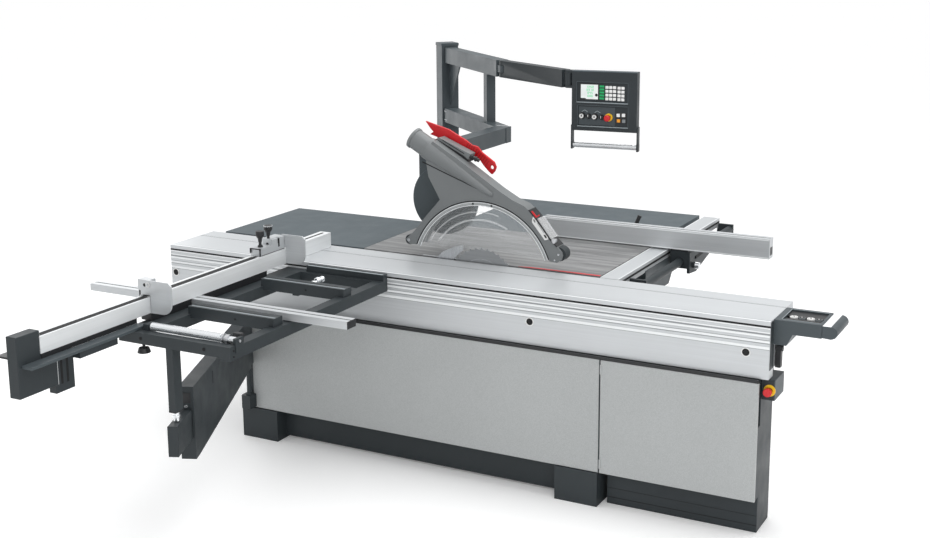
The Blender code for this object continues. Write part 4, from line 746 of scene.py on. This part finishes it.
piece("panel_top_edge", "table", "control_panel", [pbox(0.001, 0.319, -0.0004, 0.0035, -0.0006, 0.040)], place=PANEL, width=0.0008)
# Painted highlight on the panel's ledges.
piece("panel_ledges", "lightline", "control_panel", [
    pbox(0.0245, 0.2765, 0.1470, 0.1510, -0.0030, 0.004), pbox(0.0285, 0.2785, 0.2615, 0.2655, -0.0030, 0.004)], place=PANEL, width=0.0008)
piece("panel_frames", "blue", "control_panel", [
    pbox(0.0235, 0.2775, 0.0500, 0.0530, -0.0012, 0.003), pbox(0.0235, 0.0265, 0.0500, 0.1480, -0.0012, 0.003), pbox(0.2745, 0.2775, 0.0500, 0.1480, -0.0012, 0.003),
    pbox(0.0275, 0.2795, 0.1615, 0.1645, -0.0012, 0.003), pbox(0.0275, 0.0305, 0.1615, 0.2620, -0.0012, 0.003), pbox(0.2765, 0.2795, 0.1615, 0.2620, -0.0012, 0.003)], place=PANEL, width=0.0005)
piece("panel_bezel", "black", "control_panel", [pbox(0.0400, 0.1330, 0.0600, 0.1375, 0.0030, 0.0058)], place=PANEL, width=0.0006)
piece("panel_screen", "screen", "control_panel", [pbox(0.0440, 0.1290, 0.0640, 0.1335, 0.0020, 0.0045)], place=PANEL, width=0.0004)
SEG = {"0": "abcdef", "1": "bc", "2": "abged", "3": "abgcd", "4": "fgbc", "5": "afgcd", "6": "afgedc", "7": "abc", "8": "abcdefg", "9": "abcdfg"}


def digit(x, v, h, ch, y=0.0013):
    """Bars of one seven-bar digit, its top left at x, v."""
    w, t = h * 0.52, h * 0.13
    bars = {"a": (0, w, 0, t), "g": (0, w, h / 2 - t / 2, h / 2 + t / 2), "d": (0, w, h - t, h), "f": (0, t, 0, h / 2), "e": (0, t, h / 2, h),
            "b": (w - t, w, 0, h / 2), "c": (w - t, w, h / 2, h)}
    return [pbox(x + bars[b][0], x + bars[b][1], v + bars[b][2], v + bars[b][3], y, y + 0.0009) for b in SEG[ch]]


digits = []
for row, text in enumerate(("1250", "0910", "045", "080")):
    for i, ch in enumerate(text):
        digits += digit(0.073 + i * 0.0095 + (4 - len(text)) * 0.0048, 0.0695 + row * 0.0145, 0.0100, ch)
piece("panel_digits", "lit", "control_panel", digits, place=PANEL, width=0.0)
piece("panel_dial_spot", "black", "control_panel", [("cyl", (0.1215, 0.0012, Z1 - 0.1130), (0.1215, 0.0050, Z1 - 0.1130), 0.0070, 0.0070, 20), pbox(0.0440, 0.0690, 0.1290, 0.1335, 0.0014, 0.003)], place=PANEL, width=0.0004)
piece("panel_green_keys", "green", "control_panel", [pbox(0.1365, 0.1590, 0.0665 + 0.0142 * i, 0.0762 + 0.0142 * i, 0.0012, 0.0052) for i in range(5)], place=PANEL, width=0.0012)
keys = []
for r_ in range(4):
    for c_ in range(3):
        keys.append(pbox(0.1650 + 0.0185 * c_, 0.1805 + 0.0185 * c_, 0.0680 + 0.0182 * r_, 0.0815 + 0.0182 * r_, 0.0010, 0.0052))
    for c_ in range(2):
        keys.append(pbox(0.2240 + 0.0185 * c_, 0.2395 + 0.0185 * c_, 0.0695 + 0.0182 * r_, 0.0830 + 0.0182 * r_, 0.0010, 0.0052))
piece("panel_keypad", "key", "control_panel", keys, place=PANEL, width=0.0018, segs=3)
piece("panel_plate", "blue", "control_panel", [pbox(0.0330, 0.2120, 0.1700, 0.2570, 0.0050, 0.0061)], place=PANEL, width=0.0005)
for i, (x, vv) in enumerate(((0.0522, 0.2136), (0.1152, 0.2163))):
    z = Z1 - vv
    piece("knob_ring_%d" % i, "black", "control_panel", [("ring", (x, 0.0020, z), (x, 0.0062, z), 0.0120, 0.0160, 36)], place=PANEL, width=0.0006)
    piece("knob_face_%d" % i, "white", "panel_knob_%d" % (i + 1), [("ring", (x, -0.0122, z), (x, -0.0105, z), 0.0040, 0.0108, 32)], place=PANEL, width=0.0005)
    piece("knob_mark_%d" % i, "shadow", "panel_knob_%d" % (i + 1), [("box", x - 0.0008, x + 0.0008, -0.0127, -0.0118, z + 0.0045, z + 0.0095)], place=PANEL, width=0.0002)
    piece("knob_chevron_%d" % i, "lightline", "control_panel", [
        ("prism", [(x - 0.002, z + 0.021), (x + 0.012, z + 0.029), (x + 0.026, z + 0.021), (x + 0.026, z + 0.0175), (x + 0.012, z + 0.0255), (x - 0.002, z + 0.0175)], "Y", 0.0030, 0.0052)], place=PANEL, width=0.0004)
for i, (x, vv) in enumerate(((0.0842, 0.2149), (0.1477, 0.2181))):
    z = Z1 - vv
    piece("selector_%d" % i, "black", "control_panel", [("cyl", (x, -0.0040, z), (x, 0.0062, z), 0.0110, 0.0135, 32), ("box", x - 0.003, x + 0.003, -0.0110, -0.0030, z - 0.010, z + 0.010)], place=PANEL, width=0.0010)
    piece("selector_mark_%d" % i, "white", "control_panel", [("box", x - 0.0012, x + 0.0012, -0.0118, -0.0105, z - 0.003, z + 0.008)], place=PANEL, width=0.0002)
ex, ez = 0.1787, Z1 - 0.2200
piece("panel_estop_ring", "yellow", "control_panel", [("ring", (ex + 0.004, 0.0010, ez + 0.003), (ex + 0.004, 0.0058, ez + 0.003), 0.0100, 0.0190, 40)], place=PANEL, width=0.0008)
piece("panel_estop_cap", "red", "panel_estop", [("cyl", (ex, -0.0205, ez), (ex, -0.0155, ez), 0.0110, 0.0150, 36), ("cyl", (ex, -0.0160, ez), (ex, -0.0060, ez), 0.0155, 0.0125, 36)], place=PANEL, width=0.0015, segs=3)
piece("key_frame", "black", "control_panel", [pbox(0.2185, 0.2690, 0.1930, 0.2430, 0.0040, 0.0061)], place=PANEL, width=0.0005)
piece("panel_handle_ends", "black", "control_panel", [
    ("box", -0.0065, 0.0030, 0.0080, 0.0380, 1.3830, 1.4200), ("box", 0.3170, 0.3265, 0.0080, 0.0380, 1.3830, 1.4200)], place=PANEL, width=0.0020)
piece("panel_handle_sleeve", "chrome", "control_panel", [("cyl", (0.0060, 0.0230, 1.4020), (0.3140, 0.0230, 1.4020), 0.0122, 0.0122, 36)], place=PANEL, width=0.0008)
piece("panel_back_cover", "blue", "control_panel", [("box", 0.030, 0.290, 0.0445, 0.0560, 1.500, 1.735)]
      + [("cyl", (x, 0.0560, z), (x, 0.0580, z), 0.004, 0.004, 14) for x in (0.04, 0.28) for z in (1.51, 1.725)], place=PANEL, width=0.002)

# ------------------------------------------------------------------ rip fence
# Lines of painted highlight along the rip fence's edges.
piece("rip_fence_lines", "pale_alu_and_highlight_x", "rip_fence", [("box", 0.200, 1.2745, 0.5958, 0.5975, 0.9150, 0.9200), ("box", 0.140, 1.2745, 0.5958, 0.5975, 0.9990, 1.0040)], width=0.0006)
piece("rip_fence_groove", "shadow", "rip_fence", [("box", 0.121, 1.2745, 0.6202, 0.6318, 1.0030, 1.0064)], width=0.0)
piece("rip_fence_end", "alu_x", "rip_fence", [("box", 1.2745, 1.2775, 0.5965, 0.6575, 0.9120, 1.0085)], width=0.001)
piece("rip_fence_insert", "black", "rip_fence", [("box", 1.2772, 1.2785, 0.6080, 0.6440, 0.9280, 0.9660)], width=0.0008)
piece("saddle_knob", "chrome", "fence_saddle", [("cyl", (0.9100, 0.640, 0.835), (0.9300, 0.640, 0.835), 0.0180, 0.0160, 30), ("cyl", (0.8930, 0.640, 0.835), (0.9110, 0.640, 0.835), 0.0110, 0.0130, 24)], width=0.0015)
piece("saddle_block", "black", "fence_saddle", [("box", 0.7980, 0.8860, 0.5985, 0.6480, 0.9050, 0.9420)], width=0.002)
piece("saddle_slot", "shadow", "fence_saddle", [("prism", arc(0.790, 0.866, 0.0080, -90, 90, 8) + arc(0.700, 0.862, 0.0080, 90, 270, 8), "X", 0.8935, 0.8950)], width=0.0)
piece("saddle_scale_window", "clear", "fence_saddle", [("box", 0.700, 0.735, 0.6900, 0.7200, 0.9120, 0.9150)], width=0.0005)
piece("lever_grip", "black", "fence_lever", [("cyl", (0.5728, 0.7080, 0.980), (0.5925, 0.7202, 1.0335), 0.0090, 0.0105, 20)], width=0.0020)
piece("lever_base", "chrome", "fence_lever", [("cyl", (0.5600, 0.7000, 0.945), (0.5720, 0.7075, 0.978), 0.0088, 0.0078, 20)], width=0.0012)

# ------------------------------------------------------------------ blade details
piece("blade_gullet_ring", "steel", "main_blade", [("ring", (0.110, -0.04175, 0.807), (0.110, -0.04155, 0.807), 0.060, 0.0615, 48), ("ring", (0.110, -0.04175, 0.807), (0.110, -0.04155, 0.807), 0.120, 0.1215, 64)], width=0.0)
piece("motor_fins", "blue", "saw_arm", [("ring", (0.110, 0.030 + 0.012 * i, 0.460), (0.110, 0.034 + 0.012 * i, 0.460), 0.0770, 0.0820, 40) for i in range(12)], width=0.0008)

# ------------------------------------------------------------------ floor
floor_mesh = bpy.data.meshes.new("floor")
bm = bmesh.new()
bmesh.ops.create_grid(bm, x_segments=1, y_segments=1, size=150.0)
bm.to_mesh(floor_mesh)
bm.free()
floor = bpy.data.objects.new("floor", floor_mesh)
bpy.context.scene.collection.objects.link(floor)
floor.location = (0, 0, -0.0005)
fmat, fnt, fbsdf, fcoord = base_mat("floor_pale", (0.97, 0.97, 0.97), 0.8)
fnt.links.new(ramp(fnt, noise(fnt, fcoord.outputs["Object"], 0.8, 3.0), ((0.3, (0.965, 0.965, 0.965)), (0.7, (0.975, 0.975, 0.975)))), fbsdf.inputs["Base Color"])
# The floor reads as plain white to the camera and lights nothing with it.
floor_path = fnt.nodes.new("ShaderNodeLightPath")
floor_gain = fnt.nodes.new("ShaderNodeMath")
floor_gain.operation = "MULTIPLY"
floor_gain.inputs[1].default_value = 0.13
fnt.links.new(floor_path.outputs["Is Camera Ray"], floor_gain.inputs[0])
fbsdf.inputs["Emission Color"].default_value = (1.0, 1.0, 1.0, 1.0)
fnt.links.new(floor_gain.outputs[0], fbsdf.inputs["Emission Strength"])
floor_mesh.materials.append(fmat)
